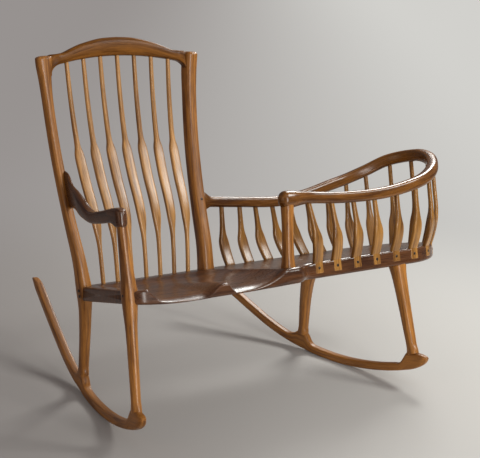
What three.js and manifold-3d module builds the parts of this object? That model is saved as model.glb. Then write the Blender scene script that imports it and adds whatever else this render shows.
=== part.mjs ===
// A rocking chair with a cradle built into its right side, carved from walnut.
// Millimetres, +Z up. Run with the npm packages three and manifold-3d.
//
// The chair is built seat-level, as on a bench: X = 0 midway between the back
// posts, Y = 0 at their feet, Z = 0 on the seat, -Y to the front and +X to the
// cradle. The finished chair is then tipped back to the angle at which it
// stands on its rockers, on the floor at Z = 0.

import * as THREE from 'three';
import { mergeVertices } from 'three/addons/utils/BufferGeometryUtils.js';
import Module from 'manifold-3d';

const wasm = await Module();
wasm.setup();

// Stance
const restTilt = 0.274;
const seatHeightAtBack = 367.5;
const fit = 0.3;
const overrun = 6;

// Seat and cradle plank
const plankThickness = 54;
const plankEdgeRound = 7;
const seatRelief = 15;
const endRelief = 13;
const reliefReach = 200;
const seatRearEdge = 28;
const seatRearCorner = 18;
const seatRearHalf = 254;
const seatFrontHalf = 317;
const seatFrontCorner = -388;
const seatFrontEdge = -408;
const seatFrontBow = 12;
const shoulderStart = 332;
const shoulderEnd = 404;
const cradleFrontEdge = -346;
const cradleEndStart = 883;
const cradleEndReach = 215;

// Scooped seat
const scoopRearHalf = 236;
const scoopFrontHalf = 268;
const scoopRear = -16;
const scoopDish = 15;
const scoopLift = 3;
const legHollow = 21;
const hollowPlace = 118;
const hollowSpread = 95;
const lipRound = 9;

// Back
const backHeight = 748;
const postFootSpread = 245;
const postTopSpread = 286;
const postLean = 60;
const postWidth = 34;
const postDepth = 38;
const rightPostFootSpread = 240;
const rightPostTopSpread = 288;
const rightPostWidth = 45;
const rightPostDepth = 50;
const crestHeight = 62;
const crestRise = 57;
const crestArch = 31;
const crestDepth = 32;
const crestBow = 11;
const crestFillet = 30;
const spindleFootPitch = 56;
const spindleTopPitch = 66.3;
const spindleFootLine = 4;
const spindleLumbar = 20;
const spindleBelly = 33;
const spindleThickness = 15;
const spindleTenonDepth = 18;
const spindleTenonWidth = 10;

// Arm and front posts
const armHeight = 193;
const armRise = 173;
const armReach = 397;
const armWidth = 38;
const armSpread = 319;
const frontPostLine = -373;
const frontPostTopLine = -381;
const leftPostSpread = 308;
const leftPostTopSpread = 317;
const leftPostWidth = 36;
const cradlePostSpread = 304;
const cradlePostTopSpread = 315;
const cradlePostWidth = 36;
const postTenonDepth = 26;
const postTenonWidth = 20;
const tongueDepth = 7;

// Legs and rockers
const rockerMiddle = 239.5;
const frontFootSpread = 569;
const rearFootSpread = 469;
const frontFootLine = -364;
const rearFootLine = 103;
const contactSetback = 350;
const frontFootRise = 133;
const rearFootRise = 70;
const footTenonDepth = 22;
const footTenonWidth = 14;
const legWidth = 48;
const rightRearLegAt = 698;
const rightRearLegLine = -6;
const rightFrontLegAt = 836;
const rightFrontLegLine = -316;
const rockerRadius = 940;
const rockerDepth = 28;
const rockerWidth = 30;
const rockerChamfer = 3;
const facet = 30;
const tailRadius = 4800;
const tailTurn = 340;
const leftTailLength = 692;
const rightTailLength = 664;
const tailTaper = 105;
const noseBend = 356;
const noseReach = 413;
const noseRise = 126;
const padLength = 44;
const padFillet = 44;

// Cradle rail and slats
const railLow = 201;
const railRise = 120;
const railWidth = 36;
const railHeight = 39;
const railFrontLine = -366;
const railStraight = 450;
const railRearLine = 34;
const railEndReach = 242;
const knuckleLength = 30;
const knuckleHeight = 58;
const knuckleWidth = 48;
const knuckleJoint = 198;
const slatWidth = 36;
const slatFootDepth = 14;
const slatFootDrop = 38;
const slatKink = 88;
const slatBelly = 18;
const slatThickness = 15;
const slatTenonDepth = 11;
const slatTenonWidth = 9;
const slatRunStart = 330;
const slatRunEnd = 304;

// Tables of shares. The first column is a place along the member, as a share
// of its length, and the second is a share of the size that the name gives.
const legPastShare = 1.06;
const midFacetShare = 0.5;
const tenonAimShare = 0.04;
const slatAimShare = 0.2;
const crownStartShare = 0.975;
const crownShares = [0.99, 0.997, 1];
const domeEndShare = 0.06;
const backLeanShares = [
  [0, 0], [0.11, 0.08], [0.27, 0.44], [0.43, 0.74], [0.59, 0.94], [0.75, 1], [0.9, 0.94], [1, 0.78],
];
const postWidthShares = [
  [-1, 0.92], [-0.6, 1.02], [-0.3, 1.15], [-0.15, 1.26], [0, 1.3], [0.07, 1.16], [0.22, 1.02],
  [0.5, 0.94], [0.8, 0.94], [0.9, 1.14], [0.96, 1.5], [1, 1.6],
];
const postDepthShares = [
  [-1, 0.86], [-0.6, 0.96], [-0.3, 1.1], [-0.15, 1.24], [0, 1.3], [0.07, 1.18], [0.22, 1.04],
  [0.5, 0.94], [0.8, 0.94], [0.95, 0.98], [1, 0.94],
];
const rightPostShares = [[0, 1.1], [0.07, 1.04], [0.22, 1], [0.5, 0.96], [0.8, 0.94], [0.9, 1], [1, 1.05]];
const rearLegLeanShares = [[0, 0], [0.2, 0.18], [0.42, 0.4], [0.63, 0.61], [0.84, 0.83], [1, 1]];
const cornerStartShare = 0.86;
const rearCornerShares = [0.8, 0.9];
const rearLegSpreadShares = [[0, 0], [0.2, 0.5], [0.42, 0.76], [0.63, 0.88], [0.84, 0.95], [1, 1]];
const tailTaperShares = [[0.03, 0.22], [0.2, 0.55], [0.5, 0.84], [1, 1]];
const legWidthShares = [[0, 1.2], [0.1, 1.04], [0.3, 0.9], [0.6, 0.79], [1, 0.68]];
const dishRiseShare = 0.25;
const hollowStartShare = 0.3;
const lipStartShare = 0.95;
const legBowShares = [[0, 0], [0.2, 0.29], [0.48, 0.58], [0.8, 0.84], [1, 1]];
const frontPostWidthShares = [
  [-1, 0.82], [-0.55, 0.91], [-0.32, 1.02], [-0.17, 1.2], [0, 1.32], [0.12, 1.18], [0.35, 1.04],
  [0.7, 0.9], [1, 0.8],
];
const cradlePostWidthShares = [[0, 1.24], [0.12, 1.08], [0.35, 0.98], [0.7, 0.98], [1, 1.1]];
const crestTopShares = [
  [0, 1], [0.19, 0.96], [0.3, 0.895], [0.43, 0.765], [0.565, 0.605], [0.695, 0.385], [0.81, 0.18],
  [0.9, 0.1], [1, 0.06],
];
const crestPlaceShares = [0, 0.17, 0.34, 0.5, 0.66, 0.78];
const filletPlaceShares = [0, 0.45, 0.75, 0.93, 1];
const crestHoldShare = 0.97;
const spindleBowShares = [
  [0, 0], [0.1, -0.5], [0.19, -0.85], [0.28, -1], [0.36, -0.6], [0.44, 0.05], [0.52, 0.5],
  [0.61, 0.88], [0.7, 0.88], [0.84, 0.6], [1, 0],
];
const spindleWidthShares = [
  [0, 0.42], [0.15, 0.42], [0.2, 0.52], [0.27, 0.9], [0.34, 1], [0.46, 1.02], [0.56, 1],
  [0.588, 0.9], [0.625, 0.54], [0.72, 0.5], [0.9, 0.44], [1, 0.4],
];
const spindlePlaceShares = [0, 0.1, 0.17, 0.22, 0.27, 0.34, 0.42, 0.5, 0.57, 0.59, 0.625, 0.7, 0.84, 1];
const spindleDepthShares = [[0, 0.93], [0.2, 1], [0.56, 1], [0.63, 1.1], [0.75, 0.95], [1, 0.86]];
const armTopShares = [
  [0, 1.08], [0.088, 1], [0.13, 0.84], [0.177, 0.75], [0.247, 0.67], [0.353, 0.5], [0.445, 0.33],
  [0.512, 0.285], [0.615, 0.285], [0.772, 0.31], [0.888, 0.335], [0.95, 0.325], [0.985, 0.27], [1, 0.18],
];
const armUnderShares = [
  [0, 0.35], [0.142, 0.34], [0.21, 0.29], [0.276, 0.215], [0.344, 0.155], [0.437, 0.095], [0.514, 0.065],
  [0.675, 0.065], [0.83, 0.075], [0.88, 0.05], [0.925, -0.02], [0.99, -0.02], [1, 0.02],
];
const armSpreadShares = [[0, 0], [0.2, 0.16], [0.4, 0.38], [0.6, 0.6], [0.8, 0.82], [1, 1]];
const armTipShares = [0.94, 0.97, 0.99, 1];
const armWidthShares = [
  [0, 0.68], [0.15, 0.66], [0.3, 0.78], [0.45, 0.9], [0.6, 0.9], [0.78, 0.94], [0.9, 1],
  [0.96, 1], [0.99, 0.9], [1, 0.74],
];
const railRiseShares = [
  [0, 0.15], [0.03, 0.15], [0.052, 0.14], [0.128, 0.04], [0.212, 0.02], [0.273, 0.1], [0.34, 0.31],
  [0.41, 0.68], [0.455, 0.91], [0.49, 1], [0.55, 0.92], [0.6, 0.64], [0.64, 0.45], [0.685, 0.3],
  [0.752, 0.09], [0.817, 0], [0.907, 0.11], [1, 0.25],
];
const railSwellShares = [[0, 1], [0.2, 1], [0.38, 1.1], [0.52, 1.14], [0.7, 1], [1, 0.95]];
const knuckleShares = [
  [-1, -0.4], [-0.93, 0.3], [-0.75, 0.72], [-0.4, 0.94], [0, 1], [0.7, 0.88], [1.4, 0.56], [2.2, 0.3],
  [3.2, 0.12], [4.5, 0],
];
const slatFootShares = [
  0.072, 0.118, 0.169, 0.219, 0.271, 0.32, 0.37, 0.415, 0.461, 0.506,
  0.551, 0.595, 0.64, 0.684, 0.73, 0.776, 0.823, 0.871, 0.92, 0.968,
];
const slatTopShares = [
  0.052, 0.106, 0.157, 0.208, 0.264, 0.313, 0.361, 0.402, 0.454, 0.503,
  0.548, 0.598, 0.641, 0.691, 0.744, 0.786, 0.829, 0.869, 0.905, 0.946,
];
const slatBellyShares = [[0, 0], [0.15, 0.6], [0.3, 0.97], [0.45, 1], [0.72, 0.5], [1, 0]];
const slatWidthShares = [
  [0, 1], [0.45, 1.05], [0.8, 1.05], [1, 0.95], [1.2, 0.74], [1.5, 0.56], [2.2, 0.45], [4, 0.42],
];
const slatDepthShares = [[0, 0.93], [0.3, 1], [1, 1.04], [1.35, 0.95], [4, 0.87]];
const slatSquareShares = [[-0.4, 8], [0, 6], [0.8, 4], [1.3, 2.4], [4, 2.4]];
const slatPlaceShares = [0, 0.45, 0.85, 1.05, 1.25, 1.5];

// Worked out from the sizes above
const seatTop = seatHeightAtBack / Math.cos(restTilt);
const restFromBench = new THREE.Matrix4()
  .makeRotationX(-restTilt)
  .multiply(new THREE.Matrix4().makeTranslation(0, 0, seatTop));
const benchFromRest = restFromBench.clone().invert();
const wholeChair = cradleEndStart + cradleEndReach;
const acrossChair = new THREE.Vector3(1, 0, 0);
const upright = new THREE.Vector3(0, 0, 1);
const pegSides = 8;
const walnut = '#a2703c';
const paleWalnut = '#b38352';
const redWalnut = '#774a2a';
const darkWalnut = '#573826';

// Shape helpers
function steps(from, to, count) {
  return Array.from({ length: count + 1 }, (_, k) => from + ((to - from) * k) / count);
}

function shareAt(shares, place) {
  const last = shares.length - 1;
  const slope = (k) => {
    const [placeBefore, shareBefore] = shares[Math.max(k - 1, 0)];
    const [placeAfter, shareAfter] = shares[Math.min(k + 1, last)];
    return (shareAfter - shareBefore) / (placeAfter - placeBefore);
  };
  let k = 0;
  while (k < last - 1 && place > shares[k + 1][0]) k += 1;
  const [start, from] = shares[k];
  const [end, to] = shares[k + 1];
  const span = end - start;
  const t = THREE.MathUtils.clamp((place - start) / span, 0, 1);
  const rise = t * t * (3 - 2 * t);
  const easeIn = t * (1 - t) * (1 - t);
  const easeOut = t * t * (t - 1);
  return from + (to - from) * rise + span * (slope(k) * easeIn + slope(k + 1) * easeOut);
}

function ring(centre, across, over, width, depth, sides, squareness) {
  const round = (value) => Math.sign(value) * Math.abs(value) ** (2 / squareness);
  return steps(0, sides - 1, sides - 1).map((k) => {
    const turn = ((k + 0.5) / sides) * 2 * Math.PI;
    return centre.clone()
      .addScaledVector(across, (round(Math.cos(turn)) * width) / 2)
      .addScaledVector(over, (round(Math.sin(turn)) * depth) / 2);
  });
}

function loft(rings) {
  const sides = rings[0].length;
  const index = [];
  for (let r = 0; r < rings.length - 1; r += 1) {
    for (let k = 0; k < sides; k += 1) {
      const near = r * sides + k;
      const next = r * sides + ((k + 1) % sides);
      index.push(near, next, next + sides, near, next + sides, near + sides);
    }
  }
  const end = (rings.length - 1) * sides;
  for (let k = 1; k < sides - 1; k += 1) {
    index.push(0, k + 1, k);
    index.push(end, end + k, end + k + 1);
  }
  const geometry = new THREE.BufferGeometry().setFromPoints(rings.flat());
  geometry.setIndex(index);
  return geometry;
}

function member({ places, at, width, depth, side, plumb, sides = 12, square = () => 2.8, grow = 0 }) {
  const centres = places.map(at);
  const rings = centres.map((centre, k) => {
    const before = centres[Math.max(k - 1, 0)];
    const after = centres[Math.min(k + 1, centres.length - 1)];
    const along = plumb ? plumb.clone() : after.clone().sub(before).normalize();
    const across = side ? side.clone() : upright.clone().cross(along);
    across.addScaledVector(along, -across.dot(along)).normalize();
    const over = along.clone().cross(across);
    const [wide, deep] = [width(places[k]) + 2 * grow, depth(places[k]) + 2 * grow];
    return ring(centre, across, over, wide, deep, sides, square(places[k]));
  });
  return solid(loft(rings));
}

function solid(geometry) {
  const bare = geometry.clone();
  bare.deleteAttribute('normal');
  bare.deleteAttribute('uv');
  const merged = mergeVertices(bare);
  return new wasm.Manifold(new wasm.Mesh({
    numProp: 3,
    vertProperties: new Float32Array(merged.attributes.position.array),
    triVerts: new Uint32Array(merged.index.array),
  }));
}

function block(from, to) {
  const size = to.clone().sub(from);
  const middle = from.clone().add(to).divideScalar(2);
  return new THREE.BoxGeometry(size.x, size.y, size.z).translate(middle.x, middle.y, middle.z);
}

// Everything between two levels, for trimming what reaches into it
function layer(low, high) {
  return block(
    new THREE.Vector3(-wholeChair, -wholeChair, low),
    new THREE.Vector3(2 * wholeChair, wholeChair, high),
  );
}

function peg(from, to, width) {
  const along = to.clone().sub(from);
  const middle = from.clone().add(to).divideScalar(2);
  const turn = new THREE.Quaternion().setFromUnitVectors(
    new THREE.Vector3(0, 1, 0),
    along.clone().normalize(),
  );
  const geometry = new THREE.CylinderGeometry(width / 2, width / 2, along.length(), pegSides);
  return solid(geometry.applyQuaternion(turn).translate(middle.x, middle.y, middle.z));
}

function domed(place, start) {
  const past = Math.max(place - start, 0) / (1 - start);
  return Math.sqrt(Math.max(1 - past * past, domeEndShare));
}

const chair = new THREE.Group();

function addPart(name, body, color, roughness) {
  const { vertProperties, triVerts } = body.getMesh();
  const geometry = new THREE.BufferGeometry();
  geometry.setAttribute('position', new THREE.BufferAttribute(new Float32Array(vertProperties), 3));
  geometry.setIndex(new THREE.BufferAttribute(new Uint32Array(triVerts), 1));
  geometry.computeVertexNormals();
  const material = new THREE.MeshStandardMaterial({ color, roughness, metalness: 0 });
  const mesh = new THREE.Mesh(geometry, material);
  mesh.name = name;
  chair.add(mesh);
}

// Rockers, each drawn in its own upright plane: X along the floor to the
// rear from the point that it stands on, Y up
const rockerRun = Math.hypot(frontFootSpread - rearFootSpread, rearFootLine - frontFootLine);
const rockerToeIn = (frontFootSpread - rearFootSpread) / rockerRun;
const rockerOnward = (rearFootLine - frontFootLine) / rockerRun;

function footAt(hand, isRear) {
  const spread = isRear ? rearFootSpread : frontFootSpread;
  const line = isRear ? rearFootLine : frontFootLine;
  return new THREE.Vector3(rockerMiddle + hand * spread, line, isRear ? rearFootRise : frontFootRise);
}

function footInBench(hand, isRear) {
  return footAt(hand, isRear).applyMatrix4(benchFromRest);
}

function rockerFrame(hand) {
  const along = new THREE.Vector3(-hand * rockerToeIn, rockerOnward, 0);
  const sideways = along.clone().cross(upright);
  const contact = footAt(hand, false).addScaledVector(along, contactSetback);
  return new THREE.Matrix4()
    .makeBasis(along, upright, sideways)
    .setPosition(contact.x, contact.y, 0);
}

function fillet(from, corner, to) {
  return new THREE.QuadraticBezierCurve(from, corner, to).getPoints(5).slice(1);
}

function rockerOutline(tailLength) {
  const facetTurn = facet / rockerRadius;
  const drop = rockerRadius * Math.cos(facetTurn / 2);
  const arc = (turn, inset) => new THREE.Vector2(
    (rockerRadius - inset) * Math.sin(turn),
    drop - (rockerRadius - inset) * Math.cos(turn),
  );
  const wholeFacets = (run) => Math.round(
    Math.asin(run / rockerRadius) / facetTurn + midFacetShare,
  ) - midFacetShare;
  const noseFacets = wholeFacets(noseBend);
  const tailFacets = wholeFacets(tailTurn);
  const tailStart = tailFacets * facetTurn;
  const tailCentre = new THREE.Vector2(-Math.sin(tailStart), Math.cos(tailStart))
    .multiplyScalar(tailRadius - rockerRadius)
    .add(arc(0, rockerRadius));
  const tail = (turn, inset) => new THREE.Vector2(Math.sin(turn), -Math.cos(turn))
    .multiplyScalar(tailRadius - inset)
    .add(tailCentre);
  const tailEnd = Math.asin((tailLength - tailCentre.x) / tailRadius);
  const taper = tailTaper / tailRadius;

  const rearFoot = rockerRun - contactSetback;
  const topTurn = (run) => Math.asin(run / (rockerRadius - rockerDepth));
  const rearOut = topTurn(rearFoot + padLength / 2 + padFillet);
  const rearIn = topTurn(rearFoot - padLength / 2 - padFillet);
  const frontIn = topTurn(padLength / 2 + padFillet - contactSetback);
  const rearPad = (run) => new THREE.Vector2(run, rearFootRise);
  const frontPad = (run) => new THREE.Vector2(run, frontFootRise);
  const filletCorner = (run, turn) => new THREE.Vector2(run, arc(turn, rockerDepth).y);
  const nose = new THREE.Vector2(-noseReach, noseRise);
  const underNose = arc(-noseFacets * facetTurn, 0);

  return [
    ...steps(-noseFacets, tailFacets, noseFacets + tailFacets).map((count) => arc(count * facetTurn, 0)),
    ...steps(tailStart, tailEnd, 4).slice(1).map((turn) => tail(turn, 0)),
    ...tailTaperShares.map(([back, up]) => tail(tailEnd - taper * back, rockerDepth * up)),
    ...steps(tailEnd - taper, tailStart, 3).slice(1).map((turn) => tail(turn, rockerDepth)),
    ...steps(tailStart, rearOut, 3).slice(1).map((turn) => arc(turn, rockerDepth)),
    ...fillet(
      arc(rearOut, rockerDepth),
      filletCorner(rearFoot + padLength / 2 + padFillet / 4, rearOut),
      rearPad(rearFoot + padLength / 2),
    ),
    rearPad(rearFoot - padLength / 2),
    ...fillet(
      rearPad(rearFoot - padLength / 2),
      filletCorner(rearFoot - padLength / 2 - padFillet / 6, rearIn),
      arc(rearIn, rockerDepth),
    ),
    ...steps(rearIn, frontIn, 8).slice(1).map((turn) => arc(turn, rockerDepth)),
    ...fillet(
      arc(frontIn, rockerDepth),
      filletCorner(padLength / 2 + padFillet / 6 - contactSetback, frontIn),
      frontPad(padLength / 2 - contactSetback),
    ),
    frontPad(-padLength / 2 - contactSetback),
    ...fillet(
      frontPad(-padLength / 2 - contactSetback),
      frontPad(-noseReach),
      nose,
    ),
    ...fillet(
      nose,
      new THREE.Vector2(-noseReach, (noseRise + underNose.y) / 2),
      underNose,
    ).slice(0, -1),
  ];
}

function rocker(hand) {
  const outline = rockerOutline(hand < 0 ? leftTailLength : rightTailLength);
  const geometry = new THREE.ExtrudeGeometry(new THREE.Shape(outline), {
    depth: rockerWidth - 2 * rockerChamfer,
    bevelThickness: rockerChamfer,
    bevelSize: rockerChamfer,
    bevelOffset: -rockerChamfer,
    bevelSegments: 1,
  });
  geometry.translate(0, 0, rockerChamfer - rockerWidth / 2);
  geometry.applyMatrix4(rockerFrame(hand)).applyMatrix4(benchFromRest);
  return solid(geometry)
    .subtract(footTenon(hand, false, fit))
    .subtract(footTenon(hand, true, fit));
}

function footTenon(hand, isRear, grow) {
  const root = footAt(hand, isRear).addScaledVector(upright, footTenonDepth / 2);
  const tip = footAt(hand, isRear).addScaledVector(upright, -footTenonDepth - grow);
  return peg(root.applyMatrix4(benchFromRest), tip.applyMatrix4(benchFromRest), footTenonWidth + 2 * grow);
}

// A leg ends level with the floor on its rocker, and is pegged into it
function footed(leg, hand, isRear) {
  const top = footAt(hand, isRear).z;
  const underFoot = solid(layer(-seatTop, top + fit).applyMatrix4(benchFromRest));
  return leg.subtract(underFoot).add(footTenon(hand, isRear, 0));
}

// Back posts: the left one runs on down as the rear leg
function backPostAt(hand, share) {
  const foot = hand < 0 ? postFootSpread : rightPostFootSpread;
  const top = hand < 0 ? postTopSpread : rightPostTopSpread;
  const spread = foot + (top - foot) * share;
  return new THREE.Vector3(hand * spread, postLean * shareAt(backLeanShares, share), backHeight * share);
}

function leftBackPostAt(share) {
  if (share >= 0) return backPostAt(-1, share);
  const foot = footInBench(-1, true);
  const seat = backPostAt(-1, 0);
  const past = Math.max(-share - 1, 0);
  return new THREE.Vector3(
    seat.x + (foot.x - seat.x) * shareAt(rearLegSpreadShares, -share),
    seat.y + (foot.y - seat.y) * (shareAt(rearLegLeanShares, -share) + past),
    seat.z + (foot.z - seat.z) * -share,
  );
}

function backPost(hand, grow) {
  const below = hand < 0 ? steps(-legPastShare, 0, 8).slice(0, -1) : [];
  const sizeAt = (share) => (hand < 0
    ? [postWidth * shareAt(postWidthShares, share), postDepth * shareAt(postDepthShares, share)]
    : [rightPostWidth, rightPostDepth].map((size) => size * shareAt(rightPostShares, share)));
  return member({
    places: [...below, ...steps(0, crownStartShare, 12), ...crownShares],
    at: hand < 0 ? leftBackPostAt : (share) => backPostAt(1, share),
    width: (share) => sizeAt(share)[0] * domed(share, crownStartShare),
    depth: (share) => sizeAt(share)[1] * domed(share, crownStartShare),
    side: acrossChair,
    grow,
  });
}

function leftBackPost() {
  return footed(backPost(-1, 0).subtract(tongues(true, fit)), -1, true);
}

function rightBackPost() {
  return backPost(1, 0).subtract(solid(layer(-plankThickness, fit))).add(postTenon(true, 0));
}

// Front posts: the left one runs on down as the front leg
function frontPostAt(hand, share) {
  const [foot, top, height] = hand < 0
    ? [leftPostSpread, leftPostTopSpread, armHeight]
    : [cradlePostSpread, cradlePostTopSpread, knuckleJoint];
  return new THREE.Vector3(
    hand * (foot + (top - foot) * share),
    frontPostLine + (frontPostTopLine - frontPostLine) * share,
    height * share,
  );
}

function leftFrontLegAt(share) {
  if (share >= 0) return frontPostAt(-1, share);
  return frontPostAt(-1, 0).lerp(footInBench(-1, false), -share);
}

function leftFrontLegBody(grow) {
  const size = (share) => leftPostWidth * shareAt(frontPostWidthShares, share);
  return member({
    places: [...steps(-legPastShare, 0, 8), ...steps(0, legPastShare, 6).slice(1)],
    at: leftFrontLegAt,
    width: size,
    depth: size,
    side: acrossChair,
    grow,
  });
}

function leftFrontLeg() {
  const leg = leftFrontLegBody(0)
    .subtract(tongues(false, fit))
    .subtract(solid(layer(armHeight, armHeight + armRise)));
  return footed(leg, -1, false).add(topTenon(-1, 0));
}

function cradleFrontPost() {
  const size = (share) => cradlePostWidth * shareAt(cradlePostWidthShares, share);
  const post = member({
    places: steps(0, legPastShare, 8),
    at: (share) => frontPostAt(1, share),
    width: size,
    depth: size,
    side: acrossChair,
  });
  return post
    .subtract(solid(layer(-plankThickness, fit)))
    .subtract(solid(layer(knuckleJoint - fit, knuckleJoint + knuckleHeight)))
    .add(postTenon(false, 0))
    .add(topTenon(1, 0));
}

function postTenon(isRear, grow) {
  const foot = isRear ? backPostAt(1, 0) : frontPostAt(1, 0);
  const root = foot.clone().addScaledVector(upright, postTenonDepth / 2);
  const tip = foot.clone().addScaledVector(upright, -postTenonDepth - grow);
  return peg(root, tip, postTenonWidth + 2 * grow);
}

function topTenon(hand, grow) {
  const top = frontPostAt(hand, 1);
  const root = top.clone().addScaledVector(upright, -postTenonDepth / 2);
  const tip = top.clone().addScaledVector(upright, postTenonDepth + grow);
  return peg(root, tip, postTenonWidth + 2 * grow);
}

// The seat's corner tongues, which stand in grooves in the two left legs
function tongues(isRear, grow) {
  const inward = isRear ? -1 : 1;
  const centre = isRear ? backPostAt(-1, 0) : frontPostAt(-1, 0);
  const width = isRear
    ? postWidth * shareAt(postWidthShares, 0)
    : leftPostWidth * shareAt(frontPostWidthShares, 0);
  const depth = isRear ? postDepth * shareAt(postDepthShares, 0) : width;
  const low = (-2 * plankThickness) / 3 - grow;
  const high = -plankThickness / 3 + grow;
  const sideFace = centre.x + width / 2 - tongueDepth - grow;
  const endFace = centre.y + inward * (depth / 2 - tongueDepth - grow);
  const sideTongue = block(
    new THREE.Vector3(sideFace, centre.y - depth, low),
    new THREE.Vector3(centre.x + width, centre.y + depth, high),
  );
  const endTongue = block(
    new THREE.Vector3(centre.x - width, Math.min(endFace, centre.y + inward * depth), low),
    new THREE.Vector3(centre.x + width, Math.max(endFace, centre.y + inward * depth), high),
  );
  return solid(sideTongue).add(solid(endTongue));
}

// Legs under the cradle
function rightLegTop(isRear) {
  return isRear
    ? new THREE.Vector3(rightRearLegAt, rightRearLegLine, -plankThickness)
    : new THREE.Vector3(rightFrontLegAt, rightFrontLegLine, -plankThickness);
}

function rightLeg(isRear) {
  const top = rightLegTop(isRear);
  const foot = footInBench(1, isRear);
  const size = (share) => legWidth * shareAt(legWidthShares, share);
  const bow = (share) => (isRear ? shareAt(legBowShares, share) + Math.max(share - 1, 0) : share);
  const leg = member({
    places: steps(0, legPastShare, 8),
    at: (share) => new THREE.Vector3(
      top.x + (foot.x - top.x) * share,
      top.y + (foot.y - top.y) * bow(share),
      top.z + (foot.z - top.z) * share,
    ),
    width: size,
    depth: size,
    side: acrossChair,
  });
  const underPlank = leg.subtract(solid(layer(-plankThickness - fit, 0)));
  return footed(underPlank, 1, isRear).add(legTenon(isRear, 0));
}

function legTenon(isRear, grow) {
  const root = rightLegTop(isRear).addScaledVector(upright, -postTenonDepth / 2);
  const tip = rightLegTop(isRear).addScaledVector(upright, postTenonDepth + grow);
  return peg(root, tip, postTenonWidth + 2 * grow);
}

// Crest rail, arched above and below, with a round fillet down each post
const crestReach = postTopSpread - (postWidth * shareAt(postWidthShares, crestHoldShare)) / 2;

function crestTop(x) {
  return backHeight + crestRise * shareAt(crestTopShares, Math.abs(x) / crestReach);
}

function crestUnder(x) {
  const intoFillet = Math.max(crestFillet - (crestReach - Math.abs(x)), 0);
  const drop = crestFillet - Math.sqrt(crestFillet ** 2 - intoFillet ** 2);
  return backHeight + crestRise - crestHeight - crestArch * (x / crestReach) ** 2 - drop;
}

function crestLine(x) {
  return postLean - crestBow * (x / crestReach) ** 2;
}

function crestBody(grow) {
  const filletStart = crestReach - crestFillet;
  const half = [
    ...crestPlaceShares.map((share) => crestReach * share),
    ...filletPlaceShares.map((share) => filletStart + crestFillet * share),
  ];
  const inPost = crestReach + postWidth / 4;
  const within = (x) => THREE.MathUtils.clamp(x, -crestReach, crestReach);
  return member({
    places: [-inPost, ...half.slice(1).reverse().map((x) => -x), ...half, inPost],
    at: (x) => new THREE.Vector3(
      x,
      crestLine(within(x)),
      (crestTop(within(x)) + crestUnder(within(x))) / 2,
    ),
    width: () => crestDepth,
    depth: (x) => crestTop(within(x)) - crestUnder(within(x)),
    side: new THREE.Vector3(0, 1, 0),
    plumb: acrossChair,
    square: () => 3,
    grow,
  });
}

function crestRail() {
  return [
    backPost(-1, fit),
    backPost(1, fit),
    ...spindleNumbers.map((number) => spindleTenon(number, true, fit)),
  ].reduce((rail, cut) => rail.subtract(cut), crestBody(0));
}

// Back spindles, numbered out from the middle one
const spindleNumbers = [-3, -2, -1, 0, 1, 2, 3];

function spindleAt(number, share) {
  const topX = number * spindleTopPitch;
  const bite = spindleThickness / 3;
  const foot = new THREE.Vector3(number * spindleFootPitch, spindleFootLine, -bite);
  const top = new THREE.Vector3(topX, crestLine(topX), crestUnder(topX) + bite);
  const at = foot.lerp(top, share);
  at.y += spindleLumbar * shareAt(spindleBowShares, share);
  return at;
}

function spindleTenon(number, isTop, grow) {
  const from = spindleAt(number, isTop ? 1 : 0);
  const inside = spindleAt(number, isTop ? 1 - tenonAimShare : tenonAimShare);
  const outward = from.clone().sub(inside).normalize();
  const root = from.clone().addScaledVector(outward, -spindleTenonDepth / 2);
  const tip = from.clone().addScaledVector(outward, spindleTenonDepth + grow);
  return peg(root, tip, spindleTenonWidth + 2 * grow);
}

function spindle(number) {
  const body = member({
    places: spindlePlaceShares,
    at: (share) => spindleAt(number, share),
    width: (share) => spindleBelly * shareAt(spindleWidthShares, share),
    depth: (share) => spindleThickness * shareAt(spindleDepthShares, share),
    side: acrossChair,
    sides: 8,
    square: () => 2.4,
  });
  return body
    .subtract(crestBody(fit))
    .subtract(solid(layer(-plankThickness, fit)))
    .add(spindleTenon(number, true, 0))
    .add(spindleTenon(number, false, 0));
}

// Left arm, from a tall thin root on the post to a broad paddle on the leg
function armLevels(share) {
  return [armUnderShares, armTopShares].map((shares) => armHeight + armRise * shareAt(shares, share));
}

function leftArm() {
  const [rootUnder, rootTop] = armLevels(0);
  const root = backPostAt(-1, (rootUnder + rootTop) / (2 * backHeight));
  const body = member({
    places: [...steps(0, 0.9, 14), ...armTipShares],
    at: (share) => {
      const [under, top] = armLevels(share);
      const spread = root.x - (armSpread + root.x) * shareAt(armSpreadShares, share);
      return new THREE.Vector3(spread, root.y - (root.y + armReach) * share, (under + top) / 2);
    },
    width: (share) => armWidth * shareAt(armWidthShares, share),
    depth: (share) => {
      const [under, top] = armLevels(share);
      return top - under;
    },
    side: acrossChair,
    plumb: new THREE.Vector3(0, -1, 0),
    square: () => 3,
  });
  return body
    .subtract(solid(layer(0, armHeight + fit)))
    .subtract(backPost(-1, fit))
    .subtract(topTenon(-1, fit));
}

// Cradle rail: a knuckle on its post, then one bent bow round to the back post
const railPlan = new THREE.Path();
railPlan.moveTo(cradlePostTopSpread, frontPostTopLine);
railPlan.bezierCurveTo(
  (cradlePostTopSpread + railStraight) / 2, frontPostTopLine,
  (cradlePostTopSpread + railStraight) / 2, railFrontLine,
  railStraight, railFrontLine,
);
railPlan.lineTo(cradleEndStart, railFrontLine);
railPlan.absellipse(
  cradleEndStart, (railFrontLine + railRearLine) / 2,
  railEndReach, (railRearLine - railFrontLine) / 2,
  -Math.PI / 2, Math.PI / 2, false,
);
railPlan.lineTo(backPostAt(1, railLow / backHeight).x, railRearLine);
const railRun = railPlan.getLength();

function railAt(share) {
  const along = THREE.MathUtils.clamp(share, 0, 1);
  const plan = railPlan.getPoint(along);
  const beforeStart = Math.min(share, 0) * railRun;
  return new THREE.Vector3(
    plan.x + beforeStart,
    plan.y,
    railLow + railRise * shareAt(railRiseShares, along),
  );
}

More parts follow.
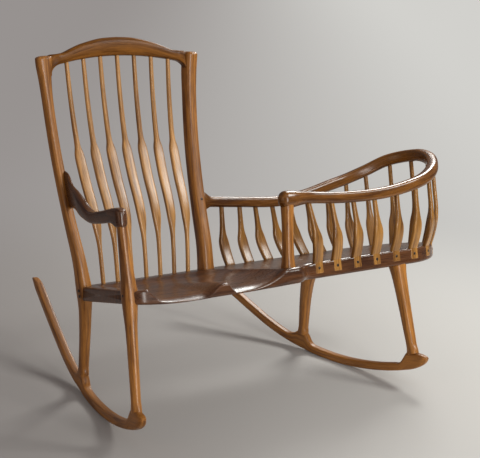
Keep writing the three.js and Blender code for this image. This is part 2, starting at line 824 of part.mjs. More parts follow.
function railBody(grow) {
  const knuckle = (place) => (place * knuckleLength) / railRun;
  const swell = (share) => shareAt(knuckleShares, (share * railRun) / knuckleLength);
  const fuller = (share) => shareAt(railSwellShares, share);
  const [last] = knuckleShares[knuckleShares.length - 1];
  return member({
    places: [
      ...knuckleShares.map(([place]) => knuckle(place)).slice(0, -1),
      ...steps(knuckle(last), 1, 38),
    ],
    at: railAt,
    width: (share) => railWidth * fuller(share) + (knuckleWidth - railWidth) * swell(share),
    depth: (share) => railHeight * fuller(share) + (knuckleHeight - railHeight) * swell(share),
    sides: 10,
    square: () => 2.6,
    grow,
  });
}

function cradleRail() {
  const seat = solid(block(
    new THREE.Vector3(cradlePostTopSpread - 2 * knuckleLength, frontPostTopLine - knuckleWidth, 0),
    new THREE.Vector3(cradlePostTopSpread + knuckleWidth / 2, frontPostTopLine + knuckleWidth, knuckleJoint),
  ));
  return [
    seat,
    topTenon(1, fit),
    backPost(1, fit),
    ...slatNumbers.map((number) => slatTenon(number, fit)),
  ].reduce((rail, cut) => rail.subtract(cut), railBody(0));
}

// Cradle slats, numbered round from the front
const slatNumbers = slatFootShares.map((_, number) => number);
const slatEdge = new THREE.Path();
slatEdge.moveTo(slatRunStart, cradleFrontEdge);
slatEdge.lineTo(cradleEndStart, cradleFrontEdge);
slatEdge.absellipse(
  cradleEndStart, (cradleFrontEdge + seatRearEdge) / 2,
  cradleEndReach, (seatRearEdge - cradleFrontEdge) / 2,
  -Math.PI / 2, Math.PI / 2, false,
);
slatEdge.lineTo(slatRunEnd, seatRearEdge);

function slatStand(number) {
  const edge = slatEdge.getPoint(slatFootShares[number]);
  const { x, y } = slatEdge.getTangent(slatFootShares[number]);
  const outward = new THREE.Vector3(y, -x, 0);
  return {
    edge: new THREE.Vector3(edge.x, edge.y, 0),
    foot: new THREE.Vector3(edge.x, edge.y, 0).addScaledVector(outward, -slatFootDepth / 2),
    outward,
    sideways: new THREE.Vector3(x, y, 0),
    top: railAt(slatTopShares[number]),
  };
}

function slatAt(stand, place) {
  const height = place * slatKink;
  const share = Math.max(height, 0) / stand.top.z;
  const at = stand.foot.clone().lerp(stand.top, share);
  at.z = height;
  return at.addScaledVector(stand.outward, slatBelly * shareAt(slatBellyShares, share));
}

function slatTenon(number, grow) {
  const stand = slatStand(number);
  const { top } = stand;
  const outward = top.clone().sub(slatAt(stand, top.z / slatKink - slatAimShare)).normalize();
  const root = top.clone().addScaledVector(outward, -railHeight);
  const tip = top.clone().addScaledVector(outward, slatTenonDepth + grow - railHeight / 2);
  return peg(root, tip, slatTenonWidth + 2 * grow);
}

function slatNotch(number) {
  const { edge, outward, sideways } = slatStand(number);
  const frame = new THREE.Matrix4().makeBasis(outward, sideways, upright).setPosition(edge);
  const notch = block(
    new THREE.Vector3(-slatFootDepth - fit, -slatWidth / 2 - fit, -slatFootDrop - fit),
    new THREE.Vector3(overrun, slatWidth / 2 + fit, overrun),
  );
  return solid(notch.applyMatrix4(frame));
}

function slat(number) {
  const stand = slatStand(number);
  const neck = steps(slatPlaceShares.at(-1), stand.top.z / slatKink, 3).slice(1);
  const body = member({
    places: [-slatFootDrop / slatKink, ...slatPlaceShares, ...neck],
    at: (place) => slatAt(stand, place),
    width: (place) => slatWidth * shareAt(slatWidthShares, place),
    depth: (place) => slatThickness * shareAt(slatDepthShares, place),
    side: stand.sideways,
    sides: 8,
    square: (place) => shareAt(slatSquareShares, place),
  });
  return body.subtract(railBody(fit)).add(slatTenon(number, 0));
}

// Seat and cradle floor, sawn from one plank and scooped for the sitter
function plank() {
  const middleOfShoulder = (shoulderStart + shoulderEnd) / 2;
  const outline = new THREE.Shape();
  outline.moveTo(-seatRearHalf, seatRearCorner);
  outline.lineTo(-seatFrontHalf, seatFrontCorner);
  outline.splineThru([
    new THREE.Vector2(-seatFrontHalf * cornerStartShare, seatFrontEdge),
    new THREE.Vector2(0, seatFrontEdge - seatFrontBow),
    new THREE.Vector2(shoulderStart, seatFrontEdge),
  ]);
  outline.bezierCurveTo(
    middleOfShoulder, seatFrontEdge,
    middleOfShoulder, cradleFrontEdge,
    shoulderEnd, cradleFrontEdge,
  );
  outline.lineTo(cradleEndStart, cradleFrontEdge);
  outline.absellipse(
    cradleEndStart, (cradleFrontEdge + seatRearEdge) / 2,
    cradleEndReach, (seatRearEdge - cradleFrontEdge) / 2,
    -Math.PI / 2, Math.PI / 2, false,
  );
  const [cornerStart, cornerTurn] = rearCornerShares.map((share) => -seatRearHalf * share);
  outline.lineTo(cornerStart, seatRearEdge);
  outline.quadraticCurveTo(cornerTurn, seatRearEdge, -seatRearHalf, seatRearCorner);
  return new THREE.ExtrudeGeometry(outline, {
    depth: plankThickness - 2 * plankEdgeRound,
    curveSegments: 10,
    bevelThickness: plankEdgeRound,
    bevelSize: plankEdgeRound,
    bevelOffset: -plankEdgeRound,
    bevelSegments: 2,
  }).translate(0, 0, plankEdgeRound - plankThickness);
}

function scoopHalfAt(y) {
  return scoopRearHalf + (scoopFrontHalf - scoopRearHalf) * (y / seatFrontEdge);
}

function scoopFloor(x, y) {
  const forward = (scoopRear - y) / (scoopRear - seatFrontEdge);
  const across = Math.abs(x) / scoopHalfAt(y);
  const dish = (1 - across ** 8) * THREE.MathUtils.smoothstep(forward, 0, dishRiseShare);
  const hollow = Math.exp(-(((Math.abs(x) - hollowPlace) / hollowSpread) ** 4))
    * THREE.MathUtils.smoothstep(forward, hollowStartShare, 1);
  const lip = THREE.MathUtils.clamp((forward - lipStartShare) / (1 - lipStartShare), 0, 1) ** 2;
  return scoopLift - (scoopDish + scoopLift) * dish - legHollow * hollow - lipRound * lip * dish;
}

// A cutter between two curved surfaces over a grid of columns and rows
function between(columns, rows, floorAt, ceilingAt, widthAt = () => 1) {
  const points = [floorAt, ceilingAt].flatMap((level) => rows.flatMap((y) => columns.map(
    (column) => new THREE.Vector3(column * widthAt(y), y, level(column * widthAt(y), y)),
  )));
  const size = columns.length * rows.length;
  const index = [];
  const quad = (a, b, c, d) => index.push(a, b, c, a, c, d);
  for (let r = 0; r < rows.length - 1; r += 1) {
    for (let c = 0; c < columns.length - 1; c += 1) {
      const a = r * columns.length + c;
      const d = a + columns.length;
      quad(a, a + 1, d + 1, d);
      quad(size + a, size + d, size + d + 1, size + a + 1);
    }
  }
  for (let c = 0; c < columns.length - 1; c += 1) {
    const front = (rows.length - 1) * columns.length + c;
    quad(c, size + c, size + c + 1, c + 1);
    quad(front, front + 1, size + front + 1, size + front);
  }
  for (let r = 0; r < rows.length - 1; r += 1) {
    const left = r * columns.length;
    const right = left + columns.length - 1;
    quad(left, left + columns.length, size + left + columns.length, size + left);
    quad(right, size + right, size + right + columns.length, right + columns.length);
  }
  const geometry = new THREE.BufferGeometry().setFromPoints(points);
  geometry.setIndex(index);
  return solid(geometry);
}

function scoop() {
  const columns = steps(-1, 1, 26);
  const rows = [
    ...steps(scoopRear, seatFrontEdge * lipStartShare, 12),
    seatFrontEdge,
    seatFrontEdge - 2 * seatFrontBow,
  ];
  return between(columns, rows, scoopFloor, () => scoopLift + overrun, scoopHalfAt);
}

// The plank is carved thinner underneath towards each end
function relief(hand, depth) {
  const outer = hand < 0 ? seatFrontHalf + overrun : wholeChair + overrun;
  const columns = hand < 0
    ? steps(-outer, reliefReach - outer, 5)
    : steps(outer - reliefReach, outer, 5);
  const rows = [seatRearEdge + overrun, seatFrontEdge - 2 * seatFrontBow];
  const under = (x) => {
    const inward = (outer - Math.abs(x)) / reliefReach;
    return depth * (1 - inward) ** 2 - plankThickness - fit * inward;
  };
  return between(columns, rows, () => -plankThickness - overrun, under);
}

function seatPlank() {
  return [
    scoop(),
    relief(-1, seatRelief),
    relief(1, endRelief),
    backPost(-1, fit).subtract(tongues(true, 0)),
    leftFrontLegBody(fit).subtract(tongues(false, 0)),
    postTenon(true, fit),
    postTenon(false, fit),
    legTenon(true, fit),
    legTenon(false, fit),
    ...spindleNumbers.map((number) => spindleTenon(number, false, fit)),
    ...slatNumbers.map((number) => slatNotch(number)),
  ].reduce((seat, cut) => seat.subtract(cut), solid(plank()));
}

// The chair
addPart('seat_plank', seatPlank(), darkWalnut, 0.32);
addPart('left_back_post', leftBackPost(), walnut, 0.4);
addPart('right_back_post', rightBackPost(), walnut, 0.4);
addPart('left_front_leg', leftFrontLeg(), walnut, 0.4);
addPart('cradle_front_post', cradleFrontPost(), walnut, 0.4);
addPart('crest_rail', crestRail(), redWalnut, 0.38);
spindleNumbers.forEach((number, k) => addPart(`back_spindle_${k + 1}`, spindle(number), paleWalnut, 0.42));
addPart('left_arm', leftArm(), darkWalnut, 0.34);
addPart('right_rear_leg', rightLeg(true), walnut, 0.4);
addPart('right_front_leg', rightLeg(false), walnut, 0.4);
addPart('left_rocker', rocker(-1), walnut, 0.4);
addPart('right_rocker', rocker(1), walnut, 0.4);
addPart('cradle_rail', cradleRail(), redWalnut, 0.38);
slatNumbers.forEach((number) => addPart(`cradle_slat_${number + 1}`, slat(number), paleWalnut, 0.42));

// Tipped back onto its rockers, with the origin on the floor under its middle
chair.applyMatrix4(restFromBench);
chair.updateMatrixWorld(true);
const extent = new THREE.Box3().setFromObject(chair, true);
const middle = extent.getCenter(new THREE.Vector3());
const rockingCradleChair = new THREE.Group();
rockingCradleChair.add(chair);
rockingCradleChair.position.set(-middle.x, -middle.y, -extent.min.z);

export default rockingCradleChair;
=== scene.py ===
import math

import bmesh
import bpy
import numpy as np
from mathutils import Matrix, Vector


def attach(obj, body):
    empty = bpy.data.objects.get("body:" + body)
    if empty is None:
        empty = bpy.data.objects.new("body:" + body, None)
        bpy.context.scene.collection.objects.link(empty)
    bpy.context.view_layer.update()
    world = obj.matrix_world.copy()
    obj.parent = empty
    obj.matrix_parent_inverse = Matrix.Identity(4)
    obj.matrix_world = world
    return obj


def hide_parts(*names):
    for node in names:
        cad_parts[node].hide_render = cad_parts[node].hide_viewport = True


bl_info = {
    "name": "Walnut rocking chair with cradle",
    "version": (1, 2, 0),
    "blender": (4, 5, 0),
    "location": "View3D > Sidebar > Rocking chair",
    "description": "Carves the finished surfaces of a walnut rocking chair with a cradle at its side",
    "category": "Add Mesh",
}

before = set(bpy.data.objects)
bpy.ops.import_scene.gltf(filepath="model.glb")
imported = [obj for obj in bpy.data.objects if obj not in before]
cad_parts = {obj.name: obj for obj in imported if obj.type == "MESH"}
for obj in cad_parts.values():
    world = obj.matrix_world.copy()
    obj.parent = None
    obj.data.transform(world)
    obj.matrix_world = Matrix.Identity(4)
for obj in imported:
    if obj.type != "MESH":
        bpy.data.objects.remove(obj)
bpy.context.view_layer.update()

# Sizes in millimetres, as the chair stands level on a bench: X = 0 midway
# between the back posts, Y = 0 at their feet, Z = 0 on the seat.
REST_TILT = 0.274
SEAT_TOP = 367.5 / math.cos(REST_TILT)
# Where the bench's origin stands in the row frame
SHIFT = np.array([-394.012, -114.649, 0])
ROCKER_MIDDLE = 239.5

PLANK = 54
PLANK_ROUND = 8
SOFT_EDGE = 9
SEAT_RELIEF = 15
END_RELIEF = 13
RELIEF_REACH = 200
SEAT_REAR_EDGE = 28
SEAT_REAR_CORNER = 18
SEAT_REAR_HALF = 254
SEAT_FRONT_HALF = 317
SEAT_FRONT_CORNER = -388
SEAT_FRONT_EDGE = -408
SEAT_FRONT_BOW = 12
SHOULDER_START = 318
SHOULDER_END = 424
CRADLE_FRONT_EDGE = -346
CRADLE_END_START = 883
CRADLE_END_REACH = 215
SCOOP_REAR_HALF = 236
SCOOP_FRONT_HALF = 268
SCOOP_REAR = -16
SCOOP_DISH = 15
SCOOP_LIFT = 3
LEG_HOLLOW = 21
RIGHT_HOLLOW_SHARE = 0.86
POMMEL_RISE = 3.5
LIP_ROUND = 9
# Shares of the scoop's length from the rear: the dish is full, the hollows, the pommel and the lip start
DISH_FULL = 0.25
HOLLOW_START = 0.3
POMMEL_START = 0.55
LIP_START = 0.92
# Ridges across the seat: where each starts, is full, eases off and ends
LEFT_HOLLOW = (-272, -214, -62, 12)
RIGHT_HOLLOW = (26, 58, 118, 278)
POMMEL = (-78, 6, 22, 46)
SOFT_CORNER = (200, 300, 390, 470)

BACK_HEIGHT = 748
LEFT_POST_FEET = (245, 286)
RIGHT_POST_FEET = (240, 288)
POST_LEAN = 60
POST_WIDTH = 34
POST_DEPTH = 38
POST_CROWN = 0.986
RIGHT_POST_WIDTH = 45
RIGHT_POST_DEPTH = 50
CREST_HEIGHT = 62
CREST_RISE = 57
CREST_ARCH = 31
CREST_BOW = 11
CREST_FILLET = 30
CREST_RUN_IN = 9
CREST_END_DROP = 6
CREST_END_OUT = 4
CREST_END_REARWARD = 2
CREST_END_SLIMMER = 0.22
SPINDLES = 7
SPINDLE_FOOT_PITCH = 56
SPINDLE_TOP_PITCH = 66.3
SPINDLE_FOOT_LINE = 4
SPINDLE_LUMBAR = 20
SPINDLE_BITE = 5

ARM_HEIGHT = 193
ARM_RISE = 173
ARM_REACH = 397
ARM_SPREAD = 319
ARM_BLOCK = 0.955
ARM_ROOT_INSET = 11
ARM_ROOT_LEAN = 0.125
# How far along the arm its root's inset and lean have died away
ARM_INSET_END = 0.32
ARM_LEAN_END = 0.35
FRONT_POST_LINE = -373
FRONT_POST_TOP_LINE = -381
LEFT_POST_SPREAD = 308
LEFT_POST_TOP_SPREAD = 317
LEFT_POST_WIDTH = 36
CRADLE_POST_SPREAD = 304
CRADLE_POST_TOP_SPREAD = 315
CRADLE_POST_WIDTH = 36

FRONT_FOOT_SPREAD = 569
REAR_FOOT_SPREAD = 469
FRONT_FOOT_LINE = -364
REAR_FOOT_LINE = 103
CONTACT_SETBACK = 350
FRONT_FOOT_RISE = 133
REAR_FOOT_RISE = 70
LEG_WIDTH = 48
# How far legs and posts run into what they meet, as a share of their length
RUN_IN = 0.03
# From which share of its length a leg deepens towards its pad, and by how much
SHOE_START = 0.93
CRADLE_SHOE_START = 0.92
SHOE_DEEPER = 0.3
FRONT_SHOE_DEEPER = 0.36
RIGHT_REAR_LEG = (698, -6)
RIGHT_FRONT_LEG = (836, -316)
ROCKER_RADIUS = 940
ROCKER_DEPTH = 28
TAIL_RADIUS = 4800
TAIL_TURN = 340
LEFT_TAIL_LENGTH = 692
RIGHT_TAIL_LENGTH = 664
TAIL_TAPER = 105
TAIL_NARROWING = 60
NOSE_BEND = 356
NOSE_REACH = 413
NOSE_RISE = 126
NOSE_ROUND = 34
PAD_LENGTH = 44
PAD_FILLET = 44

RAIL_LOW = 201
RAIL_RISE = 120
RAIL_FRONT_LINE = -366
RAIL_STRAIGHT = 450
RAIL_REAR_LINE = 34
RAIL_END_REACH = 242
RAIL_FLARE_START = 0.966
RAIL_FLARE_END = 0.99
RAIL_FLARE_WIDTH = 0.28
RAIL_FLARE_HEIGHT = 0.9
KNUCKLE_LENGTH = 30
KNUCKLE_HEIGHT = 58
KNUCKLE_WIDTH = 48
KNUCKLE_JOINT = 198
SLAT_FOOT_DEPTH = 14
SLAT_FOOT_DROP = 38
SLAT_KINK = 88
SLAT_BELLY = 18
SLAT_RUN_START = 330
SLAT_RUN_END = 304
SLAT_PLUG_DROP = 20
LEG_PLUG_DROPS = (12, 30)
# How far out the plugs in posts and leg sit, as a share of the width or depth there
POST_PLUG_OUT = 0.65
LEG_PLUG_OUT = 0.655
RAIL_PLUG_OUT = 0.49
POST_PLUG_LINE = -4
# How far up the right post the plug over the rail's screw sits above the rail, as a share
RAIL_PLUG_RISE = 0.05

# Each row is a place along the piece and a share of the size that it shapes
BACK_LEAN = [
    (0, 0), (0.11, 0.08), (0.27, 0.44), (0.43, 0.74), (0.59, 0.94), (0.75, 1), (0.9, 0.94), (1, 0.78),
]
POST_WIDTHS = [
    (-1, 0.92), (-0.6, 1.02), (-0.3, 1.15), (-0.15, 1.26), (0, 1.3), (0.07, 1.16), (0.22, 1.02),
    (0.5, 0.94), (0.8, 0.94), (0.9, 1.14), (0.96, 1.5), (1, 1.6),
]
POST_DEPTHS = [
    (-1, 0.86), (-0.6, 0.96), (-0.3, 1.1), (-0.15, 1.24), (0, 1.3), (0.07, 1.18), (0.22, 1.04),
    (0.5, 0.94), (0.8, 0.94), (0.95, 0.98), (1, 0.94),
]
RIGHT_POST_SIZES = [(0, 1.1), (0.07, 1.04), (0.22, 1), (0.5, 0.96), (0.8, 0.94), (0.9, 1), (1, 1.05)]
REAR_LEG_LEAN = [(0, 0), (0.2, 0.18), (0.42, 0.4), (0.63, 0.61), (0.84, 0.83), (1, 1)]
REAR_LEG_SPREAD = [(0, 0), (0.2, 0.5), (0.42, 0.76), (0.63, 0.88), (0.84, 0.95), (1, 1)]
TAIL_TAPERS = [(0, 0.1), (0.03, 0.22), (0.2, 0.55), (0.5, 0.84), (1, 1)]
LEG_WIDTHS = [(-0.1, 1.26), (0, 1.2), (0.1, 1.04), (0.3, 0.9), (0.6, 0.79), (1, 0.68)]
LEG_BOW = [(0, 0), (0.2, 0.29), (0.48, 0.58), (0.8, 0.84), (1, 1)]
FRONT_POST_WIDTHS = [
    (-1, 0.82), (-0.55, 0.91), (-0.32, 1.02), (-0.17, 1.2), (0, 1.32), (0.12, 1.18), (0.35, 1.04),
    (0.7, 0.9), (1, 0.8),
]
CRADLE_POST_WIDTHS = [(0, 1.24), (0.12, 1.08), (0.35, 0.98), (0.7, 0.98), (1, 1.1)]
CREST_TOP = [
    (0, 1), (0.19, 0.96), (0.3, 0.895), (0.43, 0.765), (0.565, 0.605), (0.695, 0.385), (0.81, 0.18),
    (0.9, 0.1), (1, 0.06),
]
SPINDLE_BOW = [
    (0, 0), (0.1, -0.5), (0.19, -0.85), (0.28, -1), (0.36, -0.6), (0.44, 0.05), (0.52, 0.5),
    (0.61, 0.88), (0.7, 0.88), (0.84, 0.6), (1, 0),
]
SPINDLE_WIDTHS = [
    (0, 0.42), (0.15, 0.42), (0.2, 0.52), (0.27, 0.9), (0.34, 1), (0.46, 1.02), (0.56, 1),
    (0.588, 0.9), (0.625, 0.54), (0.72, 0.5), (0.9, 0.44), (1, 0.4),
]
SPINDLE_DEPTHS = [(0, 0.93), (0.2, 1), (0.56, 1), (0.63, 1.1), (0.75, 0.95), (1, 0.86)]
SPINDLE_SQUARES = [(0, 2.3), (0.18, 2.4), (0.27, 4.2), (0.56, 5), (0.62, 3), (0.72, 2.4), (1, 2.3)]
ARM_TOP = [
    (0, 1.08), (0.088, 1), (0.13, 0.84), (0.177, 0.75), (0.247, 0.67), (0.353, 0.5), (0.445, 0.33),
    (0.512, 0.285), (0.615, 0.285), (0.772, 0.31), (0.888, 0.335), (0.95, 0.33), (0.985, 0.3), (1, 0.27),
]
ARM_UNDER = [
    (0, 0.35), (0.142, 0.34), (0.21, 0.29), (0.276, 0.215), (0.344, 0.155), (0.437, 0.095),
    (0.514, 0.065), (0.675, 0.065), (0.83, 0.075), (0.88, 0.05), (0.925, 0), (0.99, 0), (1, 0),
]
ARM_SPREADS = [(0, 0), (0.2, 0.16), (0.4, 0.38), (0.6, 0.6), (0.8, 0.82), (1, 1)]
ARM_WIDTHS = [
    (0, 0.4), (0.15, 0.5), (0.3, 0.74), (0.45, 0.9), (0.6, 0.9), (0.78, 0.94), (0.9, 1), (1, 1.02),
]
RAIL_RISES = [
    (0, 0.15), (0.03, 0.15), (0.052, 0.14), (0.128, 0.04), (0.212, 0.02), (0.273, 0.1), (0.34, 0.31),
    (0.41, 0.68), (0.455, 0.91), (0.49, 1), (0.55, 0.92), (0.6, 0.64), (0.64, 0.45), (0.685, 0.3),
    (0.752, 0.09), (0.817, 0), (0.907, 0.11), (1, 0.25),
]
RAIL_SWELLS = [(0, 1), (0.2, 1), (0.38, 1.1), (0.52, 1.14), (0.7, 1), (1, 0.95)]
KNUCKLE = [
    (-1, -0.4), (-0.93, 0.3), (-0.75, 0.72), (-0.4, 0.94), (0, 1), (0.7, 0.88), (1.4, 0.56),
    (2.2, 0.3), (3.2, 0.12), (4.5, 0),
]
SLAT_FEET = [
    0.072, 0.118, 0.169, 0.219, 0.271, 0.32, 0.37, 0.415, 0.461, 0.506,
    0.551, 0.595, 0.64, 0.684, 0.73, 0.776, 0.823, 0.871, 0.92, 0.968,
]
SLAT_TOPS = [
    0.052, 0.106, 0.157, 0.208, 0.264, 0.313, 0.361, 0.402, 0.454, 0.503,
    0.548, 0.598, 0.641, 0.691, 0.744, 0.786, 0.829, 0.869, 0.905, 0.946,
]
SLAT_BELLIES = [(0, 0), (0.15, 0.6), (0.3, 0.97), (0.45, 1), (0.72, 0.5), (1, 0)]
SLAT_WIDTHS = [
    (0, 1), (0.45, 1.05), (0.8, 1.05), (1, 0.95), (1.2, 0.74), (1.5, 0.56), (2.2, 0.45), (4, 0.42),
]
SLAT_DEPTHS = [(0, 0.93), (0.3, 1), (1, 1.04), (1.35, 0.95), (4, 0.87)]
SLAT_SQUARES = [(-0.4, 8), (0, 6), (0.8, 4.5), (1.3, 2.6), (4, 2.4)]

UP = np.array([0.0, 0.0, 1.0])
ACROSS = np.array([1.0, 0.0, 0.0])
REARWARD = np.array([0.0, 1.0, 0.0])
QUARTER = math.pi / 2

# Each walnut's name, roughness, oil coat, gloss, width of its growth bands in millimetres and contrast
WALNUTS = {
    # Golden brown legs and posts
    "walnut": ("oiled_walnut_golden", 0.33, 0.06, 0.5, 9, 1.4),
    # Paler, straight-grained stock of the spindles
    "pale_walnut": ("oiled_walnut_pale", 0.3, 0.08, 0.5, 9, 1.2),
    # Rockers, scuffed to a dull sheen near the floor
    "rocker_walnut": ("oiled_walnut_rockers", 0.42, 0.0, 0.5, 9, 1.25),
    # Cradle slats, a shade darker than the spindles
    "slat_walnut": ("oiled_walnut_slats", 0.28, 0.12, 0.5, 9, 1.3),
    # Browner bow rail, rubbed smooth by hands
    "red_walnut": ("oiled_walnut_brown", 0.24, 0.0, 0.5, 9, 1.3),
    # The crest's oil is rubbed off nearly dry, so it hardly shines
    "crest_walnut": ("oiled_walnut_crest", 0.3, 0.0, 0.15, 9, 1.3),
    # Dark heartwood seat and arm, rubbed glossier where it is used
    "dark_walnut": ("oiled_walnut_dark", 0.28, 0.1, 0.5, 14, 1.3),
}
DARK_FIBRE = (0.5, 0.43, 0.36)
LIGHT_FIBRE = (1.42, 1.46, 1.5)

# Each soft box's place and aim in metres, its width and height, watts and colour
SOFT_BOXES = {
    "right_key": ((2.65, 1.5, 2.95), (-0.2, 0.0, 0.3), (1.2, 1.1), 110, "#fffffb"),
    "right_front_box": ((2.2, -2.0, 3.0), (0.1, 0.0, 0.5), (1.0, 0.9), 62, "#fffffa"),
    "front_strip": ((-0.2, -3.5, 1.4), (-0.1, 0.0, 0.5), (0.9, 1.7), 52, "#fffdf9"),
    "left_fill_box": ((-3.2, -1.0, 1.4), (-0.3, 0.0, 0.6), (1.6, 1.6), 8, "#ffe6cc"),
    "front_overhead_box": ((-0.6, -2.4, 3.4), (-0.3, -0.4, 0.0), (2.2, 1.6), 10, "#ffffff"),
}
AIR_COLOUR = "#ded6d5"
AIR_STRENGTH = 0.25

# The photo's camera in the row frame
CAMERA_PLACE = (-2.92481, -3.7025, 1.77515)
CAMERA_RIGHT = (0.796068, -0.600392, 0.0762)
CAMERA_UP = (0.100073, 0.254758, 0.961813)
CAMERA_BACK = (-0.596877, -0.758042, 0.262888)
CAMERA_LENS = 105.5555


# Shape helpers, in bench millimetres
def share_at(table, place):
    """The share at a place, on a smooth curve through the table's rows."""
    places, shares = np.array(table, float).T
    place = np.asarray(place, float)
    before = np.maximum(np.arange(len(places)) - 1, 0)
    after = np.minimum(np.arange(len(places)) + 1, len(places) - 1)
    slopes = (shares[after] - shares[before]) / (places[after] - places[before])
    k = np.clip(np.searchsorted(places, place, side="left") - 1, 0, len(places) - 2)
    span = places[k + 1] - places[k]
    t = np.clip((place - places[k]) / span, 0, 1)
    rise = t * t * (3 - 2 * t)
    ease = slopes[k] * t * (1 - t) ** 2 + slopes[k + 1] * t * t * (t - 1)
    return shares[k] + (shares[k + 1] - shares[k]) * rise + span * ease


def smoothstep(value, low, high):
    t = np.clip((value - low) / (high - low), 0, 1)
    return t * t * (3 - 2 * t)


def ridge(value, places):
    """One from the second place to the third, eased to zero at the first and last."""
    start, full, ease, end = places
    return smoothstep(value, start, full) * smoothstep(value, end, ease)


def unit(vectors):
    return vectors / np.linalg.norm(vectors, axis=-1, keepdims=True)


def points(x, y, z):
    return np.stack(np.broadcast_arrays(x, y, z), axis=-1).astype(float)


def tipped(bench):
    """Bench directions as they point once the chair is tipped back onto its rockers."""
    x, y, z = np.moveaxis(np.asarray(bench, float), -1, 0)
    cos, sin = math.cos(REST_TILT), math.sin(REST_TILT)
    return points(x, y * cos + z * sin, z * cos - y * sin)


def level(standing):
    """Standing millimetres, floor at Z = 0, to bench millimetres."""
    x, y, z = np.moveaxis(np.asarray(standing, float), -1, 0)
    cos, sin = math.cos(REST_TILT), math.sin(REST_TILT)
    return points(x, y * cos - z * sin, y * sin + z * cos - SEAT_TOP)


def stand(bench):
    """Bench millimetres to the row frame's metres."""
    return (tipped(np.asarray(bench, float) + UP * SEAT_TOP) + SHIFT) / 1000


def place_piece(name, mesh, replaces, hard_angle):
    """Turns a mesh's faces outwards, smooths all but its hard edges and makes it a piece."""
    work = bmesh.new()
    work.from_mesh(mesh)
    bmesh.ops.remove_doubles(work, verts=work.verts, dist=1e-7)
    bmesh.ops.recalc_face_normals(work, faces=work.faces)
    work.to_mesh(mesh)
    work.free()
    mesh.shade_smooth()
    mesh.set_sharp_from_angle(angle=math.radians(hard_angle))
    piece = bpy.data.objects.new(name, mesh)
    bpy.context.scene.collection.objects.link(piece)
    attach(piece, "root")
    if replaces:
        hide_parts(*replaces)


def hold(mesh, name, values):
    """Gives a mesh a named attribute with one number or vector for each point."""
    values = np.asarray(values, np.float32)
    kind, key = ("FLOAT_VECTOR", "vector") if values.ndim == 2 else ("FLOAT", "value")
    mesh.attributes.new(name, kind, "POINT").data.foreach_set(key, values.ravel())


def add_node(tree, kind, at, settings=None, inputs=None):
    """Adds a node with its settings. Inputs are values, outputs, or nodes for their first output."""
    node = tree.nodes.new(kind)
    node.location = at
    for key, value in (settings or {}).items():
        setattr(node, key, value)
    for key, value in (inputs or {}).items():
        if isinstance(value, bpy.types.Node):
            value = value.outputs[0]
        if isinstance(value, bpy.types.NodeSocket):
            tree.links.new(value, node.inputs[key])
        else:
            node.inputs[key].default_value = value
    return node


def new_tree(name, sockets, result):
    """A modifier's empty node tree, and the identifier of each of its named inputs."""
    tree = bpy.data.node_groups.new(name, "GeometryNodeTree")
    tree.is_modifier = True
    keys = {}
    for label, kind in sockets.items():
        socket = tree.interface.new_socket(label, in_out="INPUT", socket_type="NodeSocket" + kind)
        keys[label] = socket.identifier
    tree.interface.new_socket(result, in_out="OUTPUT", socket_type="NodeSocketGeometry")
    return tree, keys


def grown(name, start, tree, values):
    """The plain mesh that a node tree makes of a mesh of points."""
    holder = bpy.data.objects.new(name, start)
    bpy.context.scene.collection.objects.link(holder)
    modifier = holder.modifiers.new(name, "NODES")
    modifier.node_group = tree
    for key, value in values.items():
        modifier[key] = value
    evaluated = holder.evaluated_get(bpy.context.evaluated_depsgraph_get())
    mesh = bpy.data.meshes.new_from_object(evaluated)
    mesh.name = name
    bpy.data.objects.remove(holder)
    bpy.data.meshes.remove(start)
    if not mesh.polygons:
        raise RuntimeError(f"{name} came out empty")
    return mesh


